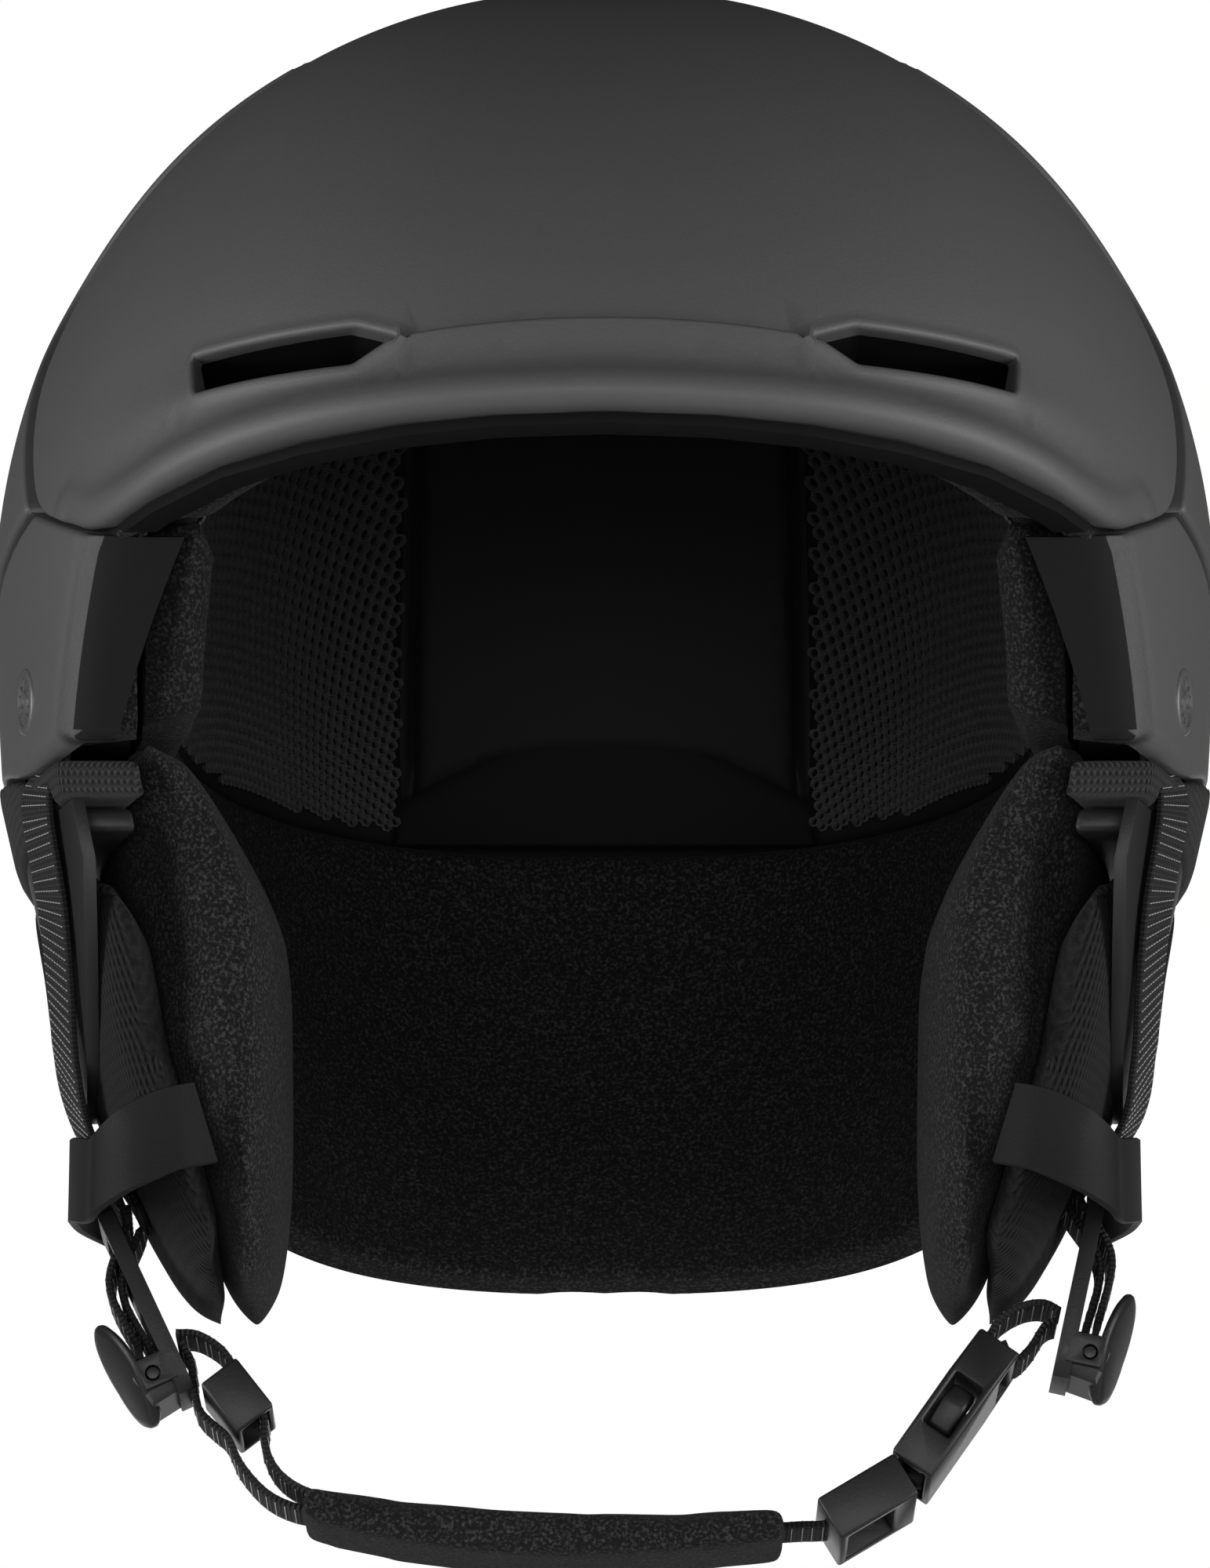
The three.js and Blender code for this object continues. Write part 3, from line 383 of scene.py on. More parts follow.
def distanceTo(points, loop):
    a, b = loop, np.roll(loop, -1, axis=0)
    step = b - a
    length = np.maximum((step ** 2).sum(1), 1e-18)
    best = np.full(len(points), 1e9)
    for start in range(0, len(points), 2000):
        p = points[start:start + 2000, None]
        t = np.clip(((p - a) * step).sum(-1) / length, 0, 1)
        best[start:start + 2000] = np.linalg.norm(p - (a + t[..., None] * step), axis=-1).min(1)
    return best


# Triangles that fill loops[0] except for the other loops, with rows of points close to every edge.
def fillLoops(loops, spacing, rows=(), extra=()):
    points = [p for loop in loops for p in loop]
    edges, rings = [], []
    start = 0
    for loop in loops:
        ring = list(range(start, start + len(loop)))
        edges += [(a, b) for a, b in zip(ring, ring[1:] + ring[:1])]
        rings.append(ring)
        start += len(loop)
    everyLoop = [np.asarray(loop) for loop in loops]

    def usable(candidates, clear):
        inside = insideLoop(candidates, everyLoop[0])
        for hole in everyLoop[1:]:
            inside &= ~insideLoop(candidates, hole)
        candidates = candidates[inside]
        for loop in everyLoop:
            candidates = candidates[distanceTo(candidates, loop) > clear]
        return candidates

    for row in rows:
        for loop in everyLoop:
            ahead = np.roll(loop, -1, axis=0) - np.roll(loop, 1, axis=0)
            out = np.stack([-ahead[:, 1], ahead[:, 0]], -1)
            out /= np.linalg.norm(out, axis=1, keepdims=True) + 1e-12
            for hand in (1, -1):
                points += list(usable(loop + out * row * hand, row * 0.96))
    reach = (max(rows) if rows else 0) + spacing * 0.45
    for line in extra:
        points += list(usable(np.asarray(line), reach * 0.4))
    low, high = everyLoop[0].min(0), everyLoop[0].max(0)
    lattice = [(x + (spacing / 2 if j % 2 else 0), y)
               for j, y in enumerate(np.arange(low[1], high[1], spacing * 0.866))
               for x in np.arange(low[0], high[0], spacing)]
    inner = usable(np.array(lattice), reach)
    if len(extra):
        lines = np.concatenate([np.asarray(e) for e in extra])
        nearest = np.array([np.linalg.norm(lines - p, axis=1).min() for p in inner])
        inner = inner[nearest > spacing * 0.5]
    points += list(inner)
    spots, _, faces, _, _, _ = delaunay_2d_cdt([Vector(p) for p in points], edges, [], 0, 1e-7, True)[:6]
    spots = np.array([tuple(s) for s in spots])
    faces = np.array(faces)
    middle = spots[faces].mean(1)
    keep = insideLoop(middle, everyLoop[0])
    for hole in everyLoop[1:]:
        keep &= ~insideLoop(middle, hole)
    return spots, faces[keep], rings


# A closed solid between an outer and an inner filled patch, joined round their loops.
def closeSkins(outer, inner):
    (outPoints, outFaces, rings), (inPoints, inFaces, _) = outer, inner
    shift = len(outPoints)
    faces = [tuple(f) for f in outFaces] + [tuple(int(i) + shift for i in f[::-1]) for f in inFaces]
    for ring in rings:
        for a, b in zip(ring, ring[1:] + ring[:1]):
            faces.append((a, b, b + shift, a + shift))
    return np.concatenate([outPoints, inPoints]), faces


def rollOff(distance, radius, depth=None):
    t = 1 - np.clip(distance / radius, 0, 1)
    return (depth or radius) * (1 - np.sqrt(np.maximum(0, 1 - t ** 2)))


mapScale = 0.172  # metres of surface for one unit of a dome's flat map


def fallTurn(spots):
    return np.hypot(spots[:, 0], spots[:, 1]), np.arctan2(spots[:, 0], spots[:, 1])


# ---- front and rear shells ----
browLine = [(-160, 41), (-133, 41), (-108, 38.5), (-83, 33.5)]
frontLowEdge = [(-70, 39.5), (-56, 45.5)]
seam = [(-46, 60), (-33, 77), (-21, 93), (-23, 106), (-33, 122), (-34, 137), (-12, 149), (-4, 175)]
panelTop = [(-56, 45.5), (-32, 42.5), (-5, 38), (28, 30), (48, 16), (58, 0.4)]
napeLine = [(66, -8), (85, -17), (108, -24), (160, -26)]
ventOutlines = {
    "front": [(35.1, 55.7), (42.9, 58.9), (71.6, 59.7), (70.3, 52.3), (42.9, 51.4)],
    "crown": [(40, 8), (52, 4), (56, 40), (50, 52), (43, 48)],
    "rear": [(14, 62), (44, 50), (47, 42), (38, 40), (14, 50)],
}
shell = {"spacing": 0.0025, "edge": 0.0008, "browRoll": 0.0030, "browDepth": 0.0026, "lipFrom": 0.0088,
         "lipTo": 0.0042, "lip": 0.0017, "hollow": 0.0004, "hollowAt": 0.0105, "hollowWide": 0.003,
         "browFrontOfY": -0.0715, "browTo": 0.0965, "browFade": 0.02,  # where the rolled brow edge ends
         "ventEdge": 0.0006, "ventRim": 0.00035, "ventRimAt": 0.0011, "ventRimWide": 0.0008,
         "rearVentEdge": 0.0012, "rearVentRim": 0.0006, "rearVentRimAt": 0.0018, "rearVentRimWide": 0.0014,
         "creaseHigh": 57.0, "creaseWidth": 0.5}


def ventLoop(kind, side, inset, grow=1.0, hollow=False):
    outline = np.array(ventOutlines[kind], float)
    middle = outline.mean(0)
    outline = (middle + (outline - middle) * grow) * [side, 1]
    perSide = 96
    if kind == "crown":
        return closedLoop(outline, perSide, lambda x, y: mapTop(x, y, inset, hollow))
    return closedLoop(outline, perSide, lambda x, z: mapFront(x, z, inset, hollow, behind=kind == "rear"))


def creaseHeight(x):
    return (shell["creaseHigh"] - 1.5 * (np.abs(x) / 0.035) ** 2) * mm


# How far the visor band stands proud: a crisp step between the vents that fades out beyond them.
def visorLift(points):
    x, y, z = points.T
    wide = shell["creaseWidth"] * mm + 0.010 * np.clip((np.abs(x) - 0.034) / 0.03, 0, 1)
    step = np.clip((creaseHeight(np.minimum(np.abs(x), 0.035)) - z) / wide + 0.5, 0, 1)
    step = step * step * (3 - 2 * step)
    fade = np.clip((0.094 - np.abs(x)) / 0.034, 0, 1)
    return np.where(y < -0.04, layer["visorProud"] * step * fade * fade * (3 - 2 * fade), 0)


def closeShell(name, node, edge, kinds, count, outer):
    innerLoops = [loopFromSide(edge, layer["shellIn"], count=count)]
    innerLoops += [ventLoop(kind, side, layer["shellIn"], 0.93) for kind, side in kinds]
    spots, innerFaces, rings = fillLoops(innerLoops, shell["spacing"] / mapScale * 2.2)
    inner = domePoints(*fallTurn(spots), np.full(len(spots), layer["shellIn"]))
    verts, faces = closeSkins(outer, (inner, innerFaces, rings))
    settle(finishMesh(name, verts, faces, shellGrey, sharp=50), "helmet", "matte_shell", node)


def makeFrontShell():
    edge = [*browLine, *frontLowEdge, *seam]
    kinds = [("front", -1), ("front", 1)]
    outerLoops = [loopFromSide(edge, 0.0, count=560)] + [ventLoop(k, s, 0.0) for k, s in kinds]
    spacing = shell["spacing"] / mapScale
    rows = [r * mm / mapScale for r in (0.1, 0.35, 0.8, 1.6, 2.4, 3.2, 4.2, 5.4, 6.8, 8.2)]
    xs = np.linspace(-0.036, 0.036, 60)
    creaseRows = [[mapFront(x, float(creaseHeight(x)) + lift * mm, 0.0) for x in xs]
                  for lift in (-0.8, -0.45, -0.15, 0.15, 0.45, 0.8)]
    spots, faces, rings = fillLoops(outerLoops, spacing, rows, creaseRows)
    fall, turn = fallTurn(spots)
    points = domePoints(fall, turn, np.zeros(len(fall)))
    edges = [points[ring] for ring in rings]
    toEdge = distanceTo(points, edges[0])
    toVent = np.minimum(distanceTo(points, edges[1]), distanceTo(points, edges[2]))
    brow = edges[0][edges[0][:, 1] < shell["browFrontOfY"]]
    toBrow = distanceTo(points, np.concatenate([brow, brow[::-1]]))
    reach = np.clip((shell["browTo"] - np.abs(points[:, 0])) / shell["browFade"], 0, 1)
    inset = rollOff(toEdge, shell["edge"]) + rollOff(toVent, shell["ventEdge"])
    inset += rollOff(toBrow, shell["browRoll"], shell["browDepth"]) * (0.35 + 0.65 * reach)
    flare = np.clip((shell["lipFrom"] - toBrow) / (shell["lipFrom"] - shell["lipTo"]), 0, 1)
    inset -= shell["lip"] * flare * flare * (3 - 2 * flare) * (0.45 + 0.55 * reach)
    inset += shell["hollow"] * np.exp(-((toBrow - shell["hollowAt"]) / shell["hollowWide"]) ** 2) * reach
    inset -= visorLift(points)
    inset -= shell["ventRim"] * np.exp(-((toVent - shell["ventRimAt"]) / shell["ventRimWide"]) ** 2)
    outer = domePoints(fall, turn, inset)
    closeShell("frontShell", "front_shell", edge, kinds, 560, (outer, faces, rings))


def makeRearShell():
    top = [(a + gap / mm, b + gap / mm) for a, b in reversed(seam)]
    low = [(a + gap / mm, b + gap / mm) for a, b in [*panelTop, *napeLine]]
    edge = [*top, *low]
    proud = layer["rearProud"]
    kinds = [("crown", -1), ("crown", 1), ("rear", -1), ("rear", 1)]
    outerLoops = [loopFromSide(edge, proud, count=640)] + [ventLoop(k, s, proud) for k, s in kinds]
    spacing = shell["spacing"] / mapScale
    rows = [r * mm / mapScale for r in (0.1, 0.35, 0.8, 1.6)]
    spots, faces, rings = fillLoops(outerLoops, spacing, rows)
    fall, turn = fallTurn(spots)
    points = domePoints(fall, turn, np.full(len(fall), proud))
    toEdge = distanceTo(points, points[rings[0]])
    toVent = np.min([distanceTo(points, points[ring]) for ring in rings[1:]], axis=0)
    inset = proud + rollOff(toEdge, shell["edge"] * 1.3) + rollOff(toVent, shell["rearVentEdge"])
    inset -= shell["rearVentRim"] * np.exp(-((toVent - shell["rearVentRimAt"]) / shell["rearVentRimWide"]) ** 2)
    outer = domePoints(fall, turn, inset)
    closeShell("rearShell", "rear_shell", edge, kinds, 640, (outer, faces, rings))


makeFrontShell()
print("front shell made")
makeRearShell()
print("rear shell made")


# ---- side panels with their turned-in front edge ----
# The two dark widths: the black inner face, then the painted shade across the roll beside it.
panel = {"edge": 0.0009, "frontRoll": 0.0060, "bottomRoll": 0.0032, "flange": 0.0076, "flangeLean": 0.12,
         "darkEdge": 0.0018, "paintedShadeFade": 0.0042, "flangeThick": 0.0022, "spacing": 0.0022}
panelOutline = [(-82.6, 32.9), (-70, 38.7), (-56, 44.7), (-32, 41.7), (-5, 37.2), (27.6, 29.2), (47.4, 15.6),
                (57, 1.2), (26, 8.6), (2, 10.1), (-22, 5.6), (-42, 0), (-69.6, 0)]


def halfWidthAt(inset, y, z):
    power = form["power"]
    side, front, rear = sectionAt(inset, z)
    along = np.minimum(1, np.abs(y) / np.where(y < 0, front, rear))
    return side * (1 - along ** power) ** (1 / power)


def distanceToLine(points, a, b):
    a, b = np.array(a) * mm, np.array(b) * mm
    step = b - a
    t = np.clip((points - a) @ step / (step @ step), 0, 1)
    return np.linalg.norm(points - (a + t[:, None] * step), axis=1)


def outlineLoop(outline, spacing):
    loop = []
    for a, b in zip(outline, outline[1:] + outline[:1]):
        a, b = np.array(a, float) * mm, np.array(b, float) * mm
        count = max(2, int(np.linalg.norm(b - a) / spacing))
        loop += [a + (b - a) * i / count for i in range(count)]
    return np.array(loop)


def makeSidePanel(word, side):
    loop = outlineLoop([tuple(p) for p in soften([*panelOutline, panelOutline[0]], 2, 24)[:-1]], 0.0014)
    rows = [0.0001, 0.0004, 0.0009, 0.0018, 0.0026, 0.0034, 0.0042, 0.006]
    spots, faces, rings = fillLoops([loop], panel["spacing"], rows)
    toEdge = distanceTo(spots, loop)
    toFront = distanceToLine(spots, panelOutline[0], panelOutline[-1])
    toBottom = distanceToLine(spots, panelOutline[-1], panelOutline[-2])
    inset = layer["panelProud"] + np.maximum.reduce([
        rollOff(toEdge, panel["edge"]), rollOff(toFront, panel["frontRoll"]),
        rollOff(toBottom, panel["bottomRoll"])])
    place = lambda p, depth: np.stack([side * halfWidthAt(depth, p[:, 0], p[:, 1]), p[:, 0], p[:, 1]], -1)
    inSpots, inFaces, _ = fillLoops([loop], panel["spacing"] * 1.6, [0.0022, 0.0026])
    inward = distanceToLine(inSpots, panelOutline[0], panelOutline[-1])
    turned = panel["flange"] + panel["flangeLean"] * np.maximum(inSpots[:, 1] - 0.003, -0.008)
    depth = np.where(inward < panel["flangeThick"] + 0.0001, turned, layer["shellIn"] + 0.0008)
    verts, faces = closeSkins((place(spots, inset), faces, rings), (place(inSpots, depth), inFaces, rings))
    piece = finishMesh(f"sidePanel_{word}", verts, faces, panelGrey, sharp=60)
    flat = np.array([v.co[1:3] for v in piece.data.vertices])
    across = distanceToLine(flat, panelOutline[0], panelOutline[-1])
    # Painted shade: 1 on the black inner face, fading to 0 a few millimetres out across the rounded turn-in,
    # where the surface turns away from the lights.
    turned = np.clip(1 - (across - panel["darkEdge"]) / panel["paintedShadeFade"], 0, 1)
    turnIn = piece.data.attributes.new("turnIn", "FLOAT", "POINT")
    turnIn.data.foreach_set("value", turned.astype(np.float32))
    piece.data.materials.append(flangeBlack)
    for face in piece.data.polygons:
        if all(across[i] < panel["darkEdge"] + 0.00012 for i in face.vertices):
            face.material_index = 1
    settle(piece, "helmet", "matte_shell", f"side_panel_{word}")


# A copy of the shell grey with painted shade: the grey darkens towards the black turned-in face, standing in
# for the rounded edge turning away from the lights.
def makePanelGreyPaintedShade():
    made = shellGrey.copy()
    made.name = "panelGrey"
    tree = made.node_tree
    shader = tree.nodes["Principled BSDF"]
    source = shader.inputs["Base Color"].links[0].from_socket
    dark = addNode(tree, "ShaderNodeAttribute", attribute_name="turnIn")
    ramp = addNode(tree, "ShaderNodeMapRange", interpolation_type="SMOOTHSTEP", From_Max=0.85,
                   links={"Value": dark.outputs["Fac"]})
    mix = addNode(tree, "ShaderNodeMix", data_type="RGBA")
    tree.links.new(ramp.outputs["Result"], mix.inputs[0])
    tree.links.new(source, mix.inputs[6])
    # the near-black that the painted shade fades to
    mix.inputs[7].default_value = (0.008, 0.008, 0.008, 1)
    tree.links.new(mix.outputs[2], shader.inputs["Base Color"])
    return made


# ---- round badges: a plain dished disc with a raised ring and small rays ----
badge = {"y": -0.050, "z": 0.012, "profile": [(0, 0.05), (1.1, 0.1), (1.3, 0.45), (1.9, 0.45), (2.1, 0.1),
         (4.3, 0.0), (4.5, 0.35), (5.3, 0.4), (5.8, 0.25), (6.05, -0.1), (6.1, -1.2), (0, -1.3)], "rays": 12}


def makeBadge(word, side):
    wide = lambda y, z: float(halfWidthAt(layer["panelProud"], np.array(y), np.array(z)))
    at = lambda y, z: np.array([side * wide(y, z), y, z])
    centre = at(badge["y"], badge["z"])
    ahead = at(badge["y"] + 0.002, badge["z"]) - centre
    above = at(badge["y"], badge["z"] + 0.002) - centre
    out = np.cross(ahead, above) * side
    out, above = out / np.linalg.norm(out), above / np.linalg.norm(above)
    level = np.cross(above, out)
    verts, around = [], 48
    for radius, high in badge["profile"]:
        for i in range(around):
            turn = 2 * math.pi * i / around
            spot = centre + (level * math.cos(turn) + above * math.sin(turn)) * radius * mm
            verts.append(spot + out * high * mm)
    faces = ringFaces(len(badge["profile"]), around)
    for k in range(badge["rays"]):
        turn = 2 * math.pi * k / badge["rays"]
        radial = level * math.cos(turn) + above * math.sin(turn)
        tangent = np.cross(out, radial)
        start = len(verts)
        for r, w, h in ((2.7, 0.16, 0.02), (3.9, 0.26, 0.02), (2.8, 0.1, 0.3), (3.8, 0.18, 0.3)):
            for hand in (-1, 1):
                verts.append(centre + (radial * r + tangent * w * hand + out * h) * mm)
        faces += [(start, start + 1, start + 5, start + 4), (start + 2, start + 3, start + 7, start + 6),
                  (start, start + 4, start + 6, start + 2), (start + 1, start + 3, start + 7, start + 5),
                  (start + 4, start + 5, start + 7, start + 6), (start, start + 2, start + 3, start + 1)]
    piece = finishMesh(f"sideBadge_{word}", verts, faces, badgeGrey, sharp=40, merge=1e-6)
    settle(piece, "helmet", "badge_plastic", f"side_badge_{word}")


panelGrey = makePanelGreyPaintedShade()
badgeGrey = plastic("badgeGrey", 0.06, 0.38, grain=1500)
for word, side in (("left", 1), ("right", -1)):
    makeSidePanel(word, side)
    makeBadge(word, side)
print("side panels and badges made")


# ---- foam liner ----
foamLine = [(-160, 42.5), (-133, 42.5), (-107, 40), (-80, 33.5), (-67, 3), (-42, 3), (-22, 8.6), (2, 13.1),
            (26, 11.6), (64, -6), (84, -15.5), (107, -22), (160, -24)]


def makeDomeSkin(name, edge, outInset, inInset, look, slot, stoodFor, hollowOut=False, spacing=0.0035,
                 edgeRoll=0.0, rows=(), holes=(), sharp=40):
    kinds = [(kind, side) for kind in holes for side in (-1, 1)]
    outerLoops = [loopFromSide(edge, outInset, hollowOut, 420)]
    outerLoops += [ventLoop(kind, side, outInset, 1, hollowOut) for kind, side in kinds]
    innerLoops = [loopFromSide(edge, inInset, True, 420)]
    innerLoops += [ventLoop(kind, side, inInset, 1, True) for kind, side in kinds]
    spots, faces, rings = fillLoops(outerLoops, spacing * 1.4 / mapScale)
    outer = domePoints(*fallTurn(spots), np.full(len(spots), outInset), hollowOut)
    inSpots, inFaces, inRings = fillLoops(innerLoops, spacing / mapScale, [r / mapScale for r in rows])
    fall, turn = fallTurn(inSpots)
    inner = domePoints(fall, turn, np.full(len(fall), inInset), True)
    toEdge = distanceTo(inner, inner[inRings[0]])
    inset = inInset - (rollOff(toEdge, edgeRoll) if edgeRoll else 0)
    inner = domePoints(fall, turn, inset + np.zeros(len(fall)), True)
    verts, faces = closeSkins((outer, faces, rings), (inner, inFaces, inRings))
    piece = finishMesh(name, verts, faces, look, sharp=sharp)
    return settle(piece, "helmet", slot, stoodFor)


makeDomeSkin("foamLiner", foamLine, layer["foamOut"], layer["foamIn"], foamBlack, "black_foam", "foam_liner",
             spacing=0.004, holes=("front", "crown", "rear"))
print("foam liner made")


# ---- fabrics ----
def fabricMaterial(name, grey, roughness, sheen, tint, heightFrom, distance, speckle=0.0):
    made, tree, shader = startMaterial(name, Sheen_Weight=sheen, Sheen_Roughness=0.45, Specular_IOR_Level=0.2,
                                       Sheen_Tint=(tint, tint, tint, 1))
    group = addNode(tree, "ShaderNodeGroup", node_tree=grainGroup, Scale=1100, Tone=speckle,
                    Color=(grey, grey, grey, 1), Roughness=roughness, Roughness_Change=0.05)
    vector = objectCoordinates(tree)
    tree.links.new(vector, group.inputs["Vector"])
    height, tone = heightFrom(tree, vector, group.outputs["Height"])
    colour = group.outputs["Color"]
    if tone is not None:
        scale = addNode(tree, "ShaderNodeVectorMath", operation="SCALE", links={0: colour, "Scale": tone})
        colour = scale.outputs[0]
    tree.links.new(colour, shader.inputs["Base Color"])
    tree.links.new(group.outputs["Roughness"], shader.inputs["Roughness"])
    bumpFrom(tree, shader, height, distance)
    return made


# Two values added in the given shares.
def weighed(tree, first, share, second, otherShare):
    return mathNode(tree, "ADD", mathNode(tree, "MULTIPLY", first, share),
                    mathNode(tree, "MULTIPLY", second, otherShare))


def waveOf(tree, value, pitch):
    return mathNode(tree, "SINE", mathNode(tree, "MULTIPLY", value, 2 * math.pi / pitch))


# Round the front and side of an ear pad, and up it.
def padPlace(tree, vector):
    apart = addNode(tree, "ShaderNodeSeparateXYZ", links={"Vector": vector})
    outward = mathNode(tree, "ABSOLUTE", apart.outputs["X"])
    back = mathNode(tree, "MULTIPLY", apart.outputs["Y"], -1.0)
    return mathNode(tree, "SUBTRACT", back, outward), apart.outputs["Z"]


# Short pile: clumped fine noise, with lighter fibre tips.
def pileHeight(tree, vector, grain):
    clump = addNode(tree, "ShaderNodeTexNoise", Scale=1500.0, Detail=2.0, Roughness=0.6,
                    links={"Vector": vector}).outputs["Fac"]
    tips = addNode(tree, "ShaderNodeMapRange", links={"Value": clump},
                   From_Min=0.48, From_Max=0.72, To_Min=0.55, To_Max=8.0)
    return mathNode(tree, "ADD", clump, mathNode(tree, "MULTIPLY", grain, 0.5)), tips.outputs["Result"]


# Coarse slanting ribs broken into stitches.
def knitHeight(tree, vector, grain):
    around, up = padPlace(tree, vector)
    lean = mathNode(tree, "ADD", around, mathNode(tree, "MULTIPLY", up, 0.35))
    ribs = waveOf(tree, lean, 0.0017)
    rows = mathNode(tree, "MULTIPLY", up, 2 * math.pi / 0.0021)
    waves = mathNode(tree, "SINE", mathNode(tree, "ADD", rows, mathNode(tree, "MULTIPLY", ribs, 1.3)))
    height = weighed(tree, ribs, 0.6, waves, 0.4)
    height = mathNode(tree, "ADD", height, mathNode(tree, "MULTIPLY", grain, 0.7))
    tone = addNode(tree, "ShaderNodeMapRange", links={"Value": height},
                   From_Min=-0.8, From_Max=1.3, To_Min=0.25, To_Max=2.0)
    return height, tone.outputs["Result"]


def plainHeight(tree, vector, grain):
    return grain, None


fleeceBlack = fabricMaterial("fleeceBlack", 0.0044, 0.95, 0.05, 0.35, pileHeight,
                             0.0005, speckle=0.5)
napeBlack = fabricMaterial("napeBlack", 0.0035, 0.95, 0.02, 0.3, pileHeight,
                           0.0004, speckle=0.5)
knitBlack = fabricMaterial("knitBlack", 0.0036, 0.85, 0.04, 0.4, knitHeight,
                           0.0005, speckle=0.4)
smoothCloth = fabricMaterial("smoothCloth", 0.0016, 0.7, 0.03, 0.3, plainHeight, 0.00005)
meshBack = fabricMaterial("meshBack", 0.003, 0.9, 0.0, 0.3, plainHeight, 0.0001)
netBlack = fabricMaterial("netBlack", 0.034, 0.85, 0.05, 0.4, plainHeight, 0.0002,
                          speckle=0.9)

def bake(piece):
    graph = bpy.context.evaluated_depsgraph_get()
    made = bpy.data.meshes.new_from_object(piece.evaluated_get(graph))
    piece.modifiers.clear()
    piece.data = made
    return piece


def wear(piece, look):
    piece.data.shade_smooth()
    piece.data.materials.clear()
    piece.data.materials.append(look)


def remeshed(piece, voxel, factor, rounds):
    remesh = piece.modifiers.new("voxels", "REMESH")
    remesh.mode = "VOXEL"
    remesh.voxel_size = voxel
    bake(piece)
    smooth = piece.modifiers.new("relax", "SMOOTH")
    smooth.factor, smooth.iterations = factor, rounds
    return bake(piece)


# Thin fleece on the foam's front faces beside the eyes, cut from the foam's own surface.
temple = {"fromX": 0.058, "frontOfY": -0.058, "low": -0.02, "high": 0.044, "facing": 0.25, "lift": 0.0011,
          "thick": 0.0016}


def makeTempleFleece(word, side):
    piece = bpy.data.objects.new(f"templeFleece_{word}", bpy.data.objects["foamLiner"].data.copy())
    bpy.context.scene.collection.objects.link(piece)
    shape = bmesh.new()
    shape.from_mesh(piece.data)
    kept = lambda c, n: (side * c.x > temple["fromX"] and c.y < temple["frontOfY"]
                         and temple["low"] < c.z < temple["high"] and side * n.x < temple["facing"])
    spare = [f for f in shape.faces if not kept(f.calc_center_median(), f.normal)]
    bmesh.ops.delete(shape, geom=spare, context="FACES")
    for vertex in shape.verts:
        vertex.co += vertex.normal * temple["lift"]
    shape.to_mesh(piece.data)
    shape.free()
    piece.modifiers.new("thick", "SOLIDIFY").thickness = temple["thick"]
    wear(bake(piece), fleeceBlack)
    settle(piece, "helmet", "fleece")


# ---- head lining: brow pad, fleece lining, centre panel, spacer-mesh pads ----
padLine = 24
browPadLine = [(-160, 43), (-133, 43), (-107, 40.6), (-84, 35.5), (-76, 37.5), (-92, 50), (-110, 58),
               (-160, 58)]
fleeceLine = [(160, -71), (90, -71), (66, -67.5), (45, -60), (47, -30), (51, 5), (-66, 5), (-79, 34.8),
              (-75.4, 36.8), (-60.4, padLine), (160, padLine)]
meshLine = [(-160, 58.6), (-110, 58.6), (-92, 50.6), (-75.6, 38), (-60, padLine + 0.4), (160, padLine + 0.4)]
softRows = (0.0003, 0.001, 0.002, 0.0032)

makeDomeSkin("browPad", browPadLine, layer["padOut"], layer["padIn"], fleeceBlack, "fleece", "brow_pad",
             hollowOut=True, spacing=0.003, edgeRoll=0.0028, rows=softRows, sharp=70)
makeDomeSkin("fleeceLining", fleeceLine, layer["padOut"], layer["fleeceIn"], napeBlack, "fleece",
             "fleece_lining", hollowOut=True, spacing=0.003, edgeRoll=0.0034, rows=softRows, sharp=70)


# The line of a channel's edge from the brow to the back, as map points on the wearer's left.
def channelEdge(inset, halfAt, frontZ, backZ, count=160):
    spots = []
    waist = form["waist"] / mm
    for z in np.linspace(frontZ, waist, 30) if frontZ < waist else []:
        spots.append(mapFront(halfAt(-100) * mm, z * mm, inset, True))
    power, rise = form["power"], (form["rise"] - inset) / mm
    front = (form["front"] - form["lengthInset"] * inset) / mm
    rear = (form["rear"] - form["lengthInset"] * inset) / mm
    for y in np.linspace(-front, rear, 600):
        x = halfAt(y)
        share = ((x / (form["halfWidth"] / mm - inset / mm)) ** cavity["power"]
                 + (abs(y) / (front if y < 0 else rear)) ** cavity["power"])
        if share >= 1:
            continue
        share = share ** (1 / cavity["power"])
        z = waist + rise * (1 - share ** power) ** (1 / power)
        if (y < 0 and z < frontZ) or (y > 0 and z < backZ):
            continue
        spots.append(mapTop(x * mm, y * mm, inset, True))
    for z in np.linspace(waist, backZ, 30)[1:] if backZ < waist else []:
        spots.append(mapFront(halfAt(100) * mm, z * mm, inset, True, behind=True))
    return resample(spots, count)


channelHalf = lambda y: 34 if y < 0 else 34 + 7 * min(1, y / 130)


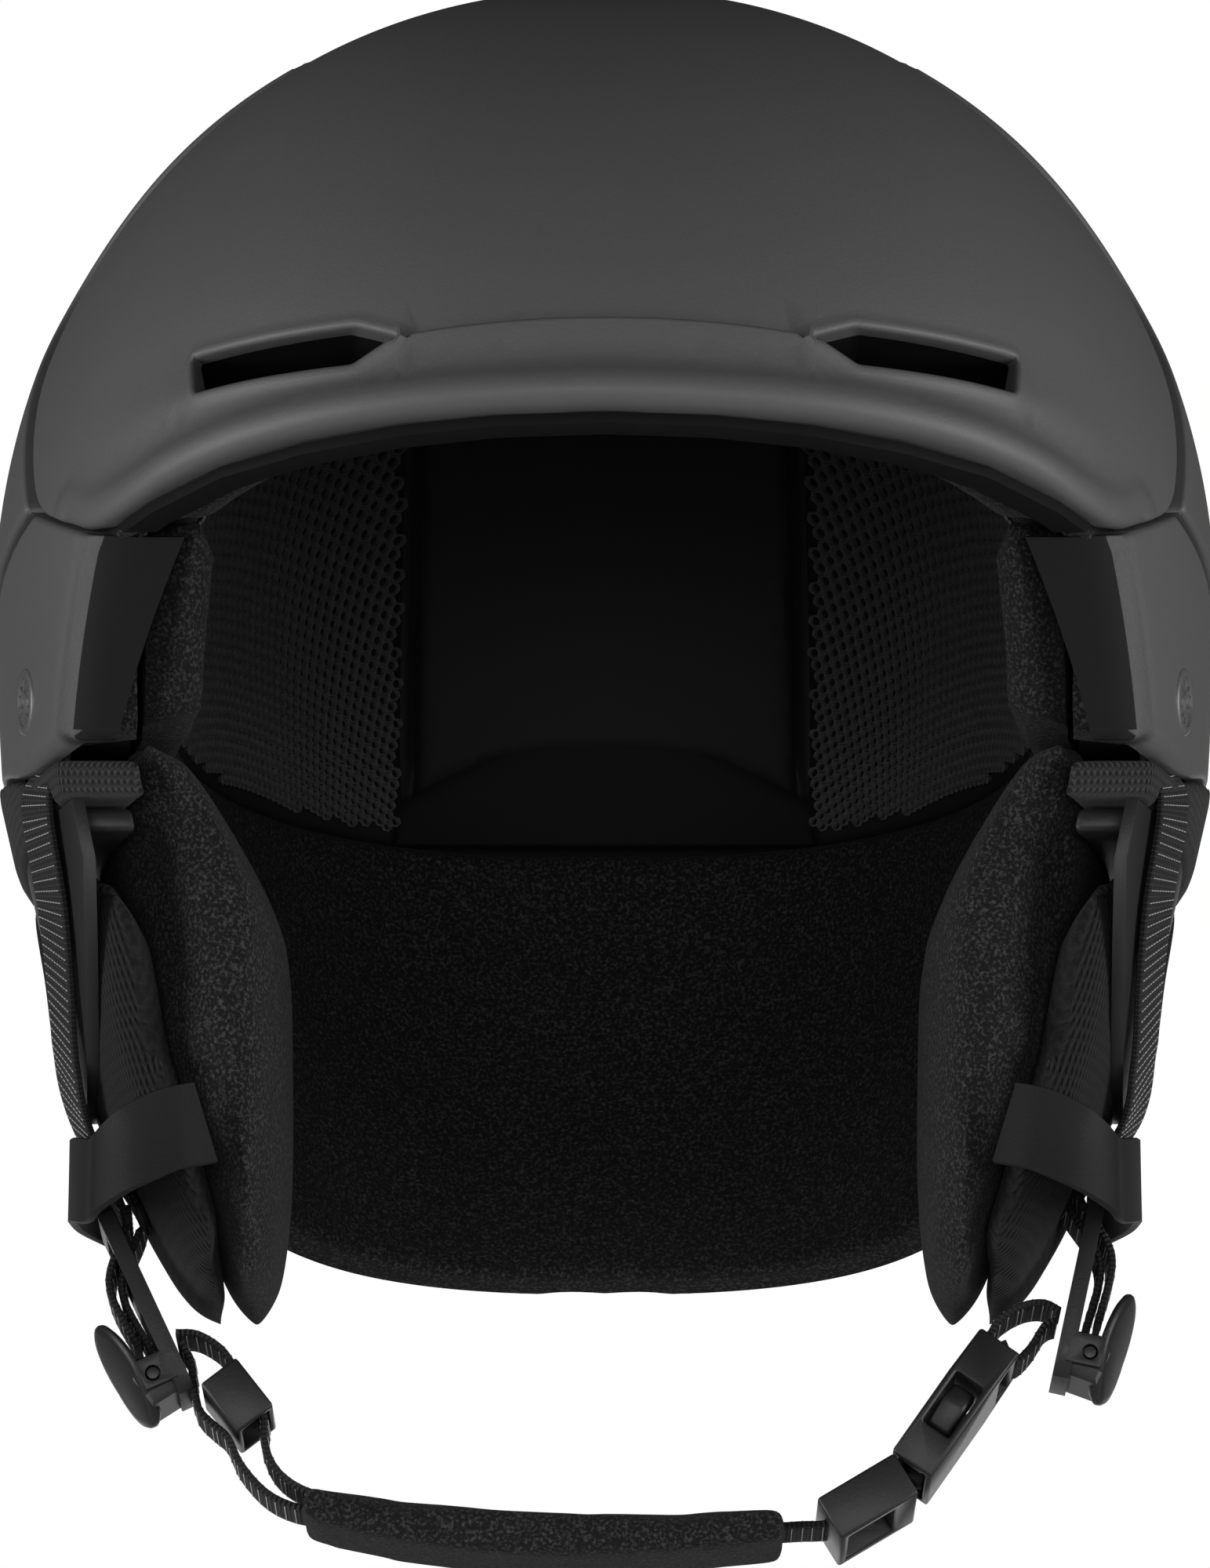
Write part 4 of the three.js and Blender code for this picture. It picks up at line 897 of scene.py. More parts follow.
def makeCentrePanel():
    inset, back = layer["slipIn"], layer["slipOut"]
    makeLoop = lambda at: (lambda half: np.concatenate([half, half[::-1] * [-1, 1]]))(
        channelEdge(at, lambda y: 46, 62, 26))
    loops = [makeLoop(inset)], [makeLoop(back)]
    spacing = 0.0028 / mapScale
    beads = [channelEdge(inset, lambda y, d=d: channelHalf(y) - d, 62, 26) for d in (0.6, 1.3, 2.0, 2.7, 3.4)]
    beads += [b * [-1, 1] for b in beads]
    spots, faces, rings = fillLoops(loops[0], spacing, [0.001 / mapScale], beads)
    fall, turn = fallTurn(spots)
    points = domePoints(fall, turn, np.full(len(fall), inset), True)
    edge = np.array([channelHalf(y / mm) for y in points[:, 1]]) * mm
    raised = np.exp(-((np.abs(points[:, 0]) - edge + 0.002) / 0.0009) ** 2) * 0.0016
    crown = 0.0022 * np.clip(1 - (np.abs(points[:, 0]) / 0.034) ** 2, 0, 1)
    points = domePoints(fall, turn, inset + raised + crown, True)
    backSpots, backFaces, backRings = fillLoops(loops[1], spacing * 2)
    backPoints = domePoints(*fallTurn(backSpots), np.full(len(backSpots), back), True)
    verts, faces = closeSkins((backPoints, backFaces, backRings), (points, faces, rings))
    piece = finishMesh("centrePanel", verts, faces, smoothCloth, sharp=60)
    settle(piece, "helmet", "liner_plastic", "slip_liner")


def meshPadLoop(inset, side):
    half = loopFromSide(meshLine, inset, True, 700)[:351]
    points = domePoints(*fallTurn(half), np.full(len(half), inset), True)
    edge = np.array([channelHalf(y / mm) for y in points[:, 1]]) * mm
    outside = half[points[:, 0] > edge + 0.0004]
    first = domePoints(*fallTurn(outside[:1]), np.array([inset]), True)[0]
    last = domePoints(*fallTurn(outside[-1:]), np.array([inset]), True)[0]
    channel = channelEdge(inset, channelHalf, first[2] / mm, last[2] / mm, 120)[1:-1]
    loop = np.concatenate([resample(outside, 170), channel[::-1]])
    return loop * [side, 1]


net = {"across": 0.0028, "along": 0.0035, "reach": 0.1, "holeWide": 0.60, "holeHigh": 0.42, "rise": 0.0007,
       "clear": 0.0026,
       "sink": 0.0005}


def makeMeshPad(word, side):
    inset, back = layer["padIn"] - 0.0006, layer["padOut"]
    loop, backLoop = meshPadLoop(inset, side), meshPadLoop(back, side)
    spacing = 0.0034 / mapScale
    spots, faces, rings = fillLoops([loop], spacing, [r / mapScale for r in softRows])
    fall, turn = fallTurn(spots)
    points = domePoints(fall, turn, np.full(len(fall), inset), True)
    toEdge = distanceTo(points, points[rings[0]])
    points = domePoints(fall, turn, inset - rollOff(toEdge, 0.0024), True)
    backSpots, backFaces, backRings = fillLoops([backLoop], spacing * 2)
    backPoints = domePoints(*fallTurn(backSpots), np.full(len(backSpots), back), True)
    verts, faces = closeSkins((backPoints, backFaces, backRings), (points, faces, rings))
    piece = finishMesh(f"meshPad_{word}", verts, faces, meshBack, sharp=70)
    settle(piece, "helmet", "mesh_fabric", f"mesh_pad_{word}")
    makeNet(word, loop, inset)


# Map points opened out so that small shapes on the dome keep their proportions, and back.
def spread(spots):
    far = np.linalg.norm(spots, axis=1, keepdims=True)
    return spots / far * np.tan(far * math.pi / 4)


def unspread(spots):
    far = np.linalg.norm(spots, axis=1, keepdims=True)
    return spots / far * np.arctan(far) * 4 / math.pi


# Lattice points on the pad, evenly spaced along its surface, each with its own axes.
def latticePoints(loop):
    wide = spread(loop)
    low, high = wide.min(0), wide.max(0)
    stepU, stepV = net["across"] / net["reach"], net["along"] / net["reach"] / 2
    found = []
    for j, v in enumerate(np.arange(low[1], high[1], stepV)):
        shift = stepU / 2 if j % 2 else 0
        found += [(u + shift, v) for u in np.arange(low[0] - stepU, high[0] + stepU, stepU)]
    found = np.array(found)
    flat = unspread(found)
    kept = insideLoop(flat, loop)
    found, flat = found[kept], flat[kept]
    return found[distanceTo(flat, loop) > net["clear"] / mapScale]


# One mesh cell: a lens-shaped eye in a six-cornered tile with a rounded rim.
def makeCell():
    verts, steps = [], 12
    six = [(0.5, 1 / 6), (0, 1 / 3), (-0.5, 1 / 6), (-0.5, -1 / 6), (0, -1 / 3), (0.5, -1 / 6)]
    corners = []
    for before, after in zip(six[-1:] + six[:-1], six):
        corners += [((before[0] + after[0]) * 0.515, (before[1] + after[1]) * 0.515),
                    (after[0] * 1.03, after[1] * 1.03)]
    for ring in range(4):
        for i in range(steps):
            turn = 2 * math.pi * i / steps
            c, s = math.cos(turn), math.sin(turn)
            edge = corners[i]
            hole = (c * 0.5 * net["holeWide"], s * 0.5 * net["holeHigh"])
            mixed = (0, 0.35, 0.78, 1)[ring]
            high = (0.2, 1.0, 0.75, -0.8)[ring]
            verts.append((*(e * (1 - mixed) + h * mixed for e, h in zip(edge, hole)), high))
    mesh = bpy.data.meshes.new("netCell")
    mesh.from_pydata(verts, [], ringFaces(4, steps))
    mesh.shade_smooth()
    cell = bpy.data.objects.new("netCell", mesh)
    bpy.context.scene.collection.objects.link(cell)
    return cell


def geometryTree(name, inputs):
    tree = bpy.data.node_groups.new(name, "GeometryNodeTree")
    tree.interface.new_socket("Geometry", in_out="INPUT", socket_type="NodeSocketGeometry")
    sockets = {}
    for label, kind, value in inputs:
        socket = tree.interface.new_socket(label, in_out="INPUT", socket_type=kind)
        if value is not None:
            socket.default_value = value
        sockets[label] = socket.identifier
    tree.interface.new_socket("Geometry", in_out="OUTPUT", socket_type="NodeSocketGeometry")
    return tree, tree.nodes.new("NodeGroupInput"), tree.nodes.new("NodeGroupOutput"), sockets


# Puts a small piece on every point, turned to the point's own axes, and makes it real.
def makeRepeatTree():
    tree, given, out, sockets = geometryTree("repeatOnPoints", [
        ("Piece", "NodeSocketObject", None), ("Look", "NodeSocketMaterial", None)])
    named = lambda label: addNode(tree, "GeometryNodeInputNamedAttribute", data_type="FLOAT_VECTOR",
                                  Name=label).outputs["Attribute"]
    info = addNode(tree, "GeometryNodeObjectInfo", links={"Object": given.outputs["Piece"]})
    place = addNode(tree, "GeometryNodeInstanceOnPoints", links={
        "Points": given.outputs["Geometry"], "Instance": info.outputs["Geometry"],
        "Scale": named("size")})
    turn = addNode(tree, "FunctionNodeAxesToRotation", primary_axis="Z", secondary_axis="Y", links={
        "Primary Axis": named("outward"), "Secondary Axis": named("along")})
    tree.links.new(turn.outputs["Rotation"], place.inputs["Rotation"])
    real = addNode(tree, "GeometryNodeRealizeInstances", links={"Geometry": place.outputs["Instances"]})
    look = addNode(tree, "GeometryNodeSetMaterial", links={
        "Geometry": real.outputs["Geometry"], "Material": given.outputs["Look"]})
    tree.links.new(look.outputs["Geometry"], out.inputs["Geometry"])
    return tree, sockets


repeatTree, repeatSockets = makeRepeatTree()


def repeatOn(name, points, outward, along, smallPiece, size, look):
    mesh = bpy.data.meshes.new(name + "Points")
    mesh.from_pydata([tuple(p) for p in points], [], [])
    sizes = np.broadcast_to(size, (len(points), 3))
    for label, values in (("outward", outward), ("along", along), ("size", sizes)):
        attribute = mesh.attributes.new(label, "FLOAT_VECTOR", "POINT")
        attribute.data.foreach_set("vector", np.asarray(values, np.float32).ravel())
    carrier = bpy.data.objects.new(name + "Points", mesh)
    bpy.context.scene.collection.objects.link(carrier)
    modifier = carrier.modifiers.new("repeat", "NODES")
    modifier.node_group = repeatTree
    modifier[repeatSockets["Piece"]] = smallPiece
    modifier[repeatSockets["Look"]] = look
    bpy.context.view_layer.update()
    graph = bpy.context.evaluated_depsgraph_get()
    made = bpy.data.meshes.new_from_object(carrier.evaluated_get(graph))
    bpy.data.objects.remove(carrier)
    made.shade_smooth()
    piece = bpy.data.objects.new(name, made)
    bpy.context.scene.collection.objects.link(piece)
    return piece


netCell = makeCell()


def makeNet(word, loop, inset):
    spots = latticePoints(loop)
    deep = np.full(len(spots), inset + net["sink"])
    at = lambda du, dv: domePoints(*fallTurn(unspread(spots + [du, dv])), deep, True)
    here, tiny = at(0, 0), 0.002
    goU = (at(tiny, 0) - at(-tiny, 0)) / (2 * tiny)
    goV = (at(0, tiny) - at(0, -tiny)) / (2 * tiny)
    wide = np.linalg.norm(goU, axis=1) * net["across"] / net["reach"]
    tall = np.linalg.norm(goV, axis=1) * net["along"] / net["reach"]
    size = np.stack([wide, tall, np.full(len(here), net["rise"])], -1)
    outward = np.cross(goU, goV)
    outward *= -np.sign((outward * (here - [0, 0, 0.03])).sum(1))[:, None]
    outward /= np.linalg.norm(outward, axis=1, keepdims=True)
    piece = repeatOn(f"meshNet_{word}", here, outward, goV, netCell, size, netBlack)
    settle(piece, "helmet", "mesh_fabric")


for word, side in (("left", 1), ("right", -1)):
    makeTempleFleece(word, side)
makeCentrePanel()
for word, side in (("left", 1), ("right", -1)):
    makeMeshPad(word, side)
bpy.data.objects.remove(netCell)
print("head lining made")


# ---- copies of frame parts with softened or rounded edges ----
def copyOf(node, name):
    mesh = nodes[node].data.copy()
    shape = bmesh.new()
    shape.from_mesh(mesh)
    bmesh.ops.remove_doubles(shape, verts=shape.verts, dist=2e-6)
    bmesh.ops.dissolve_limit(shape, angle_limit=math.radians(1.2), verts=shape.verts, edges=shape.edges)
    bmesh.ops.recalc_face_normals(shape, faces=shape.faces)
    shape.to_mesh(mesh)
    shape.free()
    mesh.materials.clear()
    piece = bpy.data.objects.new(name, mesh)
    bpy.context.scene.collection.objects.link(piece)
    return piece


def bodyOf(node):
    return next(body for body, members in frame["record"]["behaviour"]["bodies"].items() if node in members)


def roundEdges(node, name, width, look, slot):
    piece = copyOf(node, name)
    bevel = piece.modifiers.new("edges", "BEVEL")
    bevel.width = width
    bevel.segments = 2
    bevel.limit_method = "ANGLE"
    bevel.angle_limit = math.radians(32)
    bevel.miter_outer = "MITER_ARC"
    bake(piece)
    piece.data.shade_smooth()
    piece.data.set_sharp_from_angle(angle=math.radians(35))
    piece.data.materials.clear()
    piece.data.materials.append(look)
    return settle(piece, bodyOf(node), slot, node)


sides, ends, single = ("_left", "_right"), ("_front", "_rear"), ("",)
hardParts = [  # frame part, its versions, edge width, look, slot
    ("divider_frame", sides, 0.00045, partBlack, "black_plastic"),
    ("divider_pin", sides, 0.00015, pinDark, "steel"),
    ("strap_slider", single, 0.0007, partBlack, "black_plastic"),
    ("buckle_socket", single, 0.0008, partBlack, "black_plastic"),
    ("buckle_plug", single, 0.0006, partBlack, "black_plastic"),
    ("buckle_prong", ends, 0.0009, partBlack, "black_plastic"),
    ("ear_mount", sides, 0.0012, partBlack, "black_plastic"),
    ("ear_plate", sides, 0.0005, partBlack, "black_plastic"),
    ("fit_yoke", single, 0.0004, partBlack, "black_plastic"),
    ("fit_yoke_cover", single, 0.0003, partBlack, "black_plastic"),
    ("fit_band", sides, 0.00015, partBlack, "black_plastic"),
    ("dial_pinion", single, 0.00012, partBlack, "black_plastic"),
    ("dial_knob", single, 0.0005, rubberBlack, "soft_rubber"),
    ("goggle_clip_base", single, 0.0005, partBlack, "black_plastic"),
    ("goggle_clip_pin", single, 0.00015, steelGrey, "steel"),
    ("goggle_clip_flap", single, 0.0006, rubberBlack, "soft_rubber"),
    ("brow_trim", single, 0.0003, rubberBlack, "brow_rubber"),
    ("strap_anchor", [end + side for end in ends for side in sides], 0.0003, steelGrey, "steel"),
]
for part, versions, width, look, slotName in hardParts:
    first, *others = part.split("_")
    for version in versions:
        name = first + "".join(word.capitalize() for word in others) + version
        roundEdges(part + version, name, width, look, slotName)
print("hard parts rounded")


# ---- cushions: inflated as cloth, then held near the frame's shape ----
def inflate(node, name, look, slot, voxel=0.0045, cap=0.0022, shrink=0.0006, levels=1,
            relaxing=4, reshape=None):
    piece = copyOf(node, name)
    if reshape:
        for vertex in piece.data.vertices:
            vertex.co = reshape(*vertex.co)
    mesh = remeshed(piece, voxel, 0.5, relaxing).data
    start = np.array([v.co - v.normal * shrink for v in mesh.vertices])
    mesh.vertices.foreach_set("co", start.astype(np.float32).ravel())
    mesh.update()
    cloth = piece.modifiers.new("swell", "CLOTH")
    cloth.settings.quality = 5
    cloth.settings.use_pressure = True
    cloth.settings.uniform_pressure_force = 4.0
    cloth.settings.effector_weights.gravity = 0
    cloth.settings.tension_stiffness = 18
    cloth.settings.compression_stiffness = 18
    scene = bpy.context.scene
    for step in range(1, 21):
        scene.frame_set(step)
    graph = bpy.context.evaluated_depsgraph_get()
    swollen = bpy.data.meshes.new_from_object(piece.evaluated_get(graph))
    piece.modifiers.clear()
    after = np.array([v.co for v in swollen.vertices])
    moved = after - start
    far = np.linalg.norm(moved, axis=1, keepdims=True)
    after = start + moved * np.minimum(1, cap / np.maximum(far, 1e-9))
    mesh.vertices.foreach_set("co", after.astype(np.float32).ravel())
    mesh.update()
    scene.frame_set(1)
    for _ in range(levels):
        finer = piece.modifiers.new("finer", "SUBSURF")
        finer.levels = finer.render_levels = 1
        bake(piece)
    wear(piece, look)
    settle(piece, bodyOf(node), slot, node)


# The fleece face runs up behind the side panel to meet the lining.
def raiseTop(x, y, z):
    if z < -0.0012:
        return x, y, z
    return x + math.copysign(0.002, x), y - (0.006 if y < -0.03 else 0), z + 0.009


for word in ("left", "right"):
    inflate(f"ear_pad_fleece_{word}", f"earPadFleece_{word}", fleeceBlack, "fleece", levels=2,
            reshape=raiseTop)
    inflate(f"ear_pad_knit_{word}", f"earPadKnit_{word}", knitBlack, "knit_fabric", cap=0.0016, levels=2)
inflate("chin_pad", "chinPad", fleeceBlack, "fleece", voxel=0.0022, cap=0.0012, shrink=0.0001,
        relaxing=2)
print("pads inflated")


# ---- woven piping along the tops of the ear pads ----
def bindingHeight(tree, vector, grain):
    around, up = padPlace(tree, vector)
    across = waveOf(tree, around, 0.0011)
    along = mathNode(tree, "MULTIPLY", up, 2 * math.pi / 0.0016)
    woven = mathNode(tree, "SINE", mathNode(tree, "ADD", along, mathNode(tree, "MULTIPLY", across, 1.57)))
    height = weighed(tree, across, 0.5, woven, 0.5)
    tone = addNode(tree, "ShaderNodeMapRange", links={"Value": height},
                   From_Min=-0.9, From_Max=1.0, To_Min=0.3, To_Max=2.2)
    return height, tone.outputs["Result"]


bindingBlack = fabricMaterial("bindingBlack", 0.016, 0.8, 0.05, 0.4, bindingHeight,
                              0.0005, speckle=0.4)
for word in ("left", "right"):
    roll = remeshed(copyOf(f"ear_binding_{word}", f"earBinding_{word}"), 0.0009, 0.6, 14)
    wear(roll, bindingBlack)
    settle(roll, "helmet", "woven_binding", f"ear_binding_{word}")
print("piping made")


# ---- straps ----
ear = {"outTop": 106.6, "outSlope": 0.235, "plateLength": 131}
strap = {"width": 15.0, "rearWidth": 13.0, "thickness": 1.3, "step": 0.9, "stitchPitch": 1.85, "dashes": 9,
         "dashLong": 0.62, "dashWide": 0.00017, "dashHigh": 0.00008, "reach": 0.46}


def plateAt(y, z):
    low = max(0, -45 - z)
    tuck = 0.0065 * low ** 2 if low < 17 else 1.88 + 0.221 * (low - 17)
    return (ear["outTop"] + ear["outSlope"] * z - tuck) * math.sqrt(1 - (y / ear["plateLength"]) ** 2)


strapRuns = {
    "front": [(20, -46, -6.2), (9, -46, -4.2), (1.5, -45.7, -2.2), (-2.5, -45.3, 0.8), (-8, -44, 1.9),
              (-22, -40.7, 1.7),
              (-35, -34, 1.8), (-47, -26, 2.3), (-57, -17, 2.2)],
    "rear": [(18, 36, -6.4), (9, 35.7, -4.8), (1, 35, -2.8), (-3.5, 34, 0), (-9, 32.5, 1.6), (-22, 28.5, 1.7),
             (-35, 20.5, 1.7), (-47, 11.5, 1.4), (-57, 2, -0.4)],
}
turnOut = {"front": 0.11, "rear": 0.0}  # the front strap faces a little forwards
inDivider = {"front": [(-3.2, 30.5), (-2.6, 27), (4.5, 18.6), (4.5, 6)],
             "rear": [(-6, 30), (-4.9, 26), (2.7, 17.3), (2.7, 5)]}
dividerPlaces = {"left": (1, 82, -98, 12.4), "right": (-1, 76.4, -100.9, 25)}


def dividerSpot(word, x, z):
    side, px, pz, lean = dividerPlaces[word]
    c, s = math.cos(math.radians(lean)), math.sin(math.radians(lean))
    return side * (px + x * c + z * s), -8, pz + z * c - x * s


# A smooth run through stations; returns points and their width directions.
def smoothRun(stations, step):
    spots = np.array([s[:3] for s in stations], float)
    wide = np.array([s[3:6] for s in stations], float)
    padded = np.concatenate([[2 * spots[0] - spots[1]], spots, [2 * spots[-1] - spots[-2]]])
    points, widths = [], []
    for i in range(len(spots) - 1):
        p0, p1, p2, p3 = padded[i:i + 4]
        count = max(2, int(np.linalg.norm(p2 - p1) / step))
        for t in np.arange(count) / count:
            points.append(0.5 * (2 * p1 + (p2 - p0) * t + (2 * p0 - 5 * p1 + 4 * p2 - p3) * t ** 2
                                 + (3 * p1 - p0 - 3 * p2 + p3) * t ** 3))
            widths.append(wide[i] * (1 - t) + wide[i + 1] * t)
    return np.array(points + [spots[-1]]), np.array(widths + [wide[-1]])


def strapFrames(points, widths):
    along = np.gradient(points, axis=0)
    along /= np.linalg.norm(along, axis=1, keepdims=True)
    across = widths - (widths * along).sum(1, keepdims=True) * along
    across /= np.linalg.norm(across, axis=1, keepdims=True)
    return along, across, np.cross(along, across)


def makeStrap(name, stations, width, look, thickness=None, edge=0.94):
    thickness = thickness or strap["thickness"]
    points, widths = smoothRun(stations, strap["step"])
    along, across, out = strapFrames(points, widths)
    section = [(-1, -0.5), (-edge, -1), (-0.5, -1), (0, -1), (0.5, -1), (edge, -1), (1, -0.5),
               (1, 0.5), (edge, 1), (0.5, 1), (0, 1), (-0.5, 1), (-edge, 1), (-1, 0.5)]
    count = len(section)
    run = np.concatenate([[0], np.cumsum(np.linalg.norm(np.diff(points, axis=0), axis=1))])
    verts = [p + a * u * width / 2 + o * v * thickness / 2
             for p, a, o in zip(points, across, out) for u, v in section]
    faces = ringFaces(len(points), count)
    faces += [tuple(range(count)), tuple(range((len(points) - 1) * count, len(points) * count))[::-1]]
    piece = finishMesh(name, np.array(verts) * mm, faces, look, sharp=50)
    weave = piece.data.attributes.new("weave", "FLOAT_VECTOR", "POINT")
    values = [(u * width / 2, r, 0) for r in run for u, _ in section]
    weave.data.foreach_set("vector", (np.array(values, np.float32) * mm).ravel())
    return piece, points, along, across, out


def webbingHeight(tree, vector, grain):
    weave = addNode(tree, "ShaderNodeAttribute", attribute_name="weave")
    apart = addNode(tree, "ShaderNodeSeparateXYZ", links={"Vector": weave.outputs["Vector"]})
    ribs, cords = waveOf(tree, apart.outputs["Y"], 0.0009), waveOf(tree, apart.outputs["X"], 0.0012)
    height = weighed(tree, ribs, 0.65, cords, 0.35)
    tone = addNode(tree, "ShaderNodeMapRange", links={"Value": height},
                   From_Min=-1.0, To_Min=0.35, To_Max=1.8)
    return height, tone.outputs["Result"]


webbingBlack = fabricMaterial("webbingBlack", 0.011, 0.75, 0.04, 0.4, webbingHeight,
                              0.0003, speckle=0.4)
keeperBlack = plastic("keeperBlack", 0.0048, 0.65, grain=2200, bump=0.00006, tone=0.2, specular=0.2)
stitchWhite, _, stitchShader = startMaterial("stitchWhite", Roughness=0.45)
stitchTree = stitchWhite.node_tree
stitchGroup = addNode(stitchTree, "ShaderNodeGroup", node_tree=grainGroup, Tone=0.6,
                      Color=(0.24, 0.24, 0.24, 1))
stitchTree.links.new(objectCoordinates(stitchTree), stitchGroup.inputs["Vector"])
stitchTree.links.new(stitchGroup.outputs["Color"], stitchShader.inputs["Base Color"])


def makeDash():
    verts = [(x * (0.5 if high else 0.56), y * (0.5 if high else 0.56), high)
             for high in (-0.6, 1) for x, y in ((-1, -1), (1, -1), (1, 1), (-1, 1))]
    faces = [(4, 5, 6, 7), (0, 1, 5, 4), (1, 2, 6, 5), (2, 3, 7, 6), (3, 0, 4, 7)]
    mesh = bpy.data.meshes.new("dash")
    mesh.from_pydata(verts, [], faces)
    dash = bpy.data.objects.new("dash", mesh)
    bpy.context.scene.collection.objects.link(dash)
    return dash


dash = makeDash()


# Lines of light stitches across both faces of a strap.
def stitchStrap(name, run, width, body, skip=0.0):
    points, along, across, out = run
    length = np.concatenate([[0], np.cumsum(np.linalg.norm(np.diff(points, axis=0), axis=1))])
    lift = strap["thickness"] / 2 + 0.02
    spots, ups, ahead = [], [], []
    for at in np.arange(skip + 1.2, length[-1] - 0.8, strap["stitchPitch"]):
        i = min(np.searchsorted(length, at), len(points) - 1)
        for hand in (1, -1):
            for k in range(strap["dashes"]):
                u = (k + 0.5) / strap["dashes"] * 2 - 1
                spots.append(points[i] + across[i] * u * width * strap["reach"] + out[i] * lift * hand)
                ups.append(out[i] * hand)
                ahead.append(along[i])
    size = (width * strap["dashLong"] / strap["dashes"] * mm, strap["dashWide"], strap["dashHigh"])
    piece = repeatOn(name, np.array(spots) * mm, ups, ahead, dash, size, stitchWhite)
    settle(piece, body, "webbing")


def strapStations(word, which):
    side = dividerPlaces[word][0]
    stations = []
    for z, y, out in strapRuns[which]:
        slope = plateAt(y + 1, z) - plateAt(y - 1, z)
        stations.append((side * (plateAt(y, z) + out), y, z, side * (slope * 0.5 + turnOut[which]), 1, 0.16))
    return stations + [(*dividerSpot(word, x, z), 0, 1, 0) for x, z in inDivider[which]]


for word in ("left", "right"):
    for which, width in (("front", strap["width"]), ("rear", strap["rearWidth"])):
        stations = strapStations(word, which)
        piece, *run = makeStrap(f"{which}Strap_{word}", stations, width, webbingBlack)
        settle(piece, "helmet", "webbing", f"{which}_strap_{word}")
        stitchStrap(f"{which}StrapStitches_{word}", run, width, "helmet", skip=12)
    side = dividerPlaces[word][0]
    keeperPath = [(70, -54.6, -65.5), (76.5, -57, -67.5), (83.5, -56.4, -71), (88.4, -52, -73.5),
                  (90.4, -44, -73.5),
                  (92.8, -33, -71), (94.7, -20, -68), (95.4, -6, -65.5), (94.8, 8, -64), (92.6, 20, -63),
                  (88.8, 30, -63)]
    band = [(side * x, y, z, 0, 0.12, 1) for x, y, z in keeperPath]
    piece, *_ = makeStrap(f"strapKeeper_{word}", band, 15.0, keeperBlack, thickness=1.4, edge=0.97)
    settle(piece, "helmet", "keeper_elastic", f"strap_keeper_{word}")


# Locking levers: a dished disc turned slightly forwards, thickening to its hinge foot.
lever = {"radius": 10.4, "thick": 1.9, "open": 8, "turn": 10, "around": 56, "out": 7.6, "up": 4.0,
         "pivot": 4.2,
         "profile": [(0, 1.0), (0.8, 0.95), (0.93, 0.8), (0.985, 0.45), (1.0, 0.0), (0.985, -0.45),
                     (0.9, -0.9),
                     (0, -1.0)]}


def makeLever(word):
    verts, count = [], lever["around"]
    tilt = math.radians(lever["turn"])
    for radius, high in lever["profile"]:
        for j in range(count):
            turn = 2 * math.pi * j / count
            y, z = radius * lever["radius"] * math.cos(turn), radius * lever["radius"] * math.sin(turn)
            thick = lever["thick"] / 2 * (1 + 0.9 * max(0, -z / lever["radius"]))
            x = high * thick + (0.5 * max(0, -z / lever["radius"]) if high < 0 else 0)
            x, y = x * math.cos(tilt) + y * math.sin(tilt), y * math.cos(tilt) - x * math.sin(tilt)
            verts.append((x + lever["out"], y, z + lever["up"]))
    faces = ringFaces(len(lever["profile"]), count)
    start = len(verts)
    foot = [(0.6, -4.6), (7.2, -4.6), (7.6, 1.5), (5.0, 4.0), (0.8, 3.4)]
    for y in (-8.2, -7.6, 7.6, 8.2):
        grow = 0.82 if abs(y) > 8 else 1
        verts += [(4 + (x - 4) * grow, y, z * grow) for x, z in foot]
    faces += ringFaces(4, 5, start)
    faces += [tuple(range(start, start + 5)), tuple(range(start + 15, start + 20))[::-1]]
    swing = math.radians(lever["open"])
    placed = []
    for x, y, z in verts:
        dx = x - lever["pivot"]
        x = lever["pivot"] + dx * math.cos(swing) + z * math.sin(swing)
        z = z * math.cos(swing) - dx * math.sin(swing)
        spot = dividerSpot(word, x, z)
        placed.append((spot[0], spot[1] + y, spot[2]))
    piece = finishMesh(f"dividerLever_{word}", np.array(placed) * mm, faces, partBlack, sharp=40, merge=1e-6)
    settle(piece, f"lever_{word}", "black_plastic", f"divider_lever_{word}")


for word in ("left", "right"):
    makeLever(word)


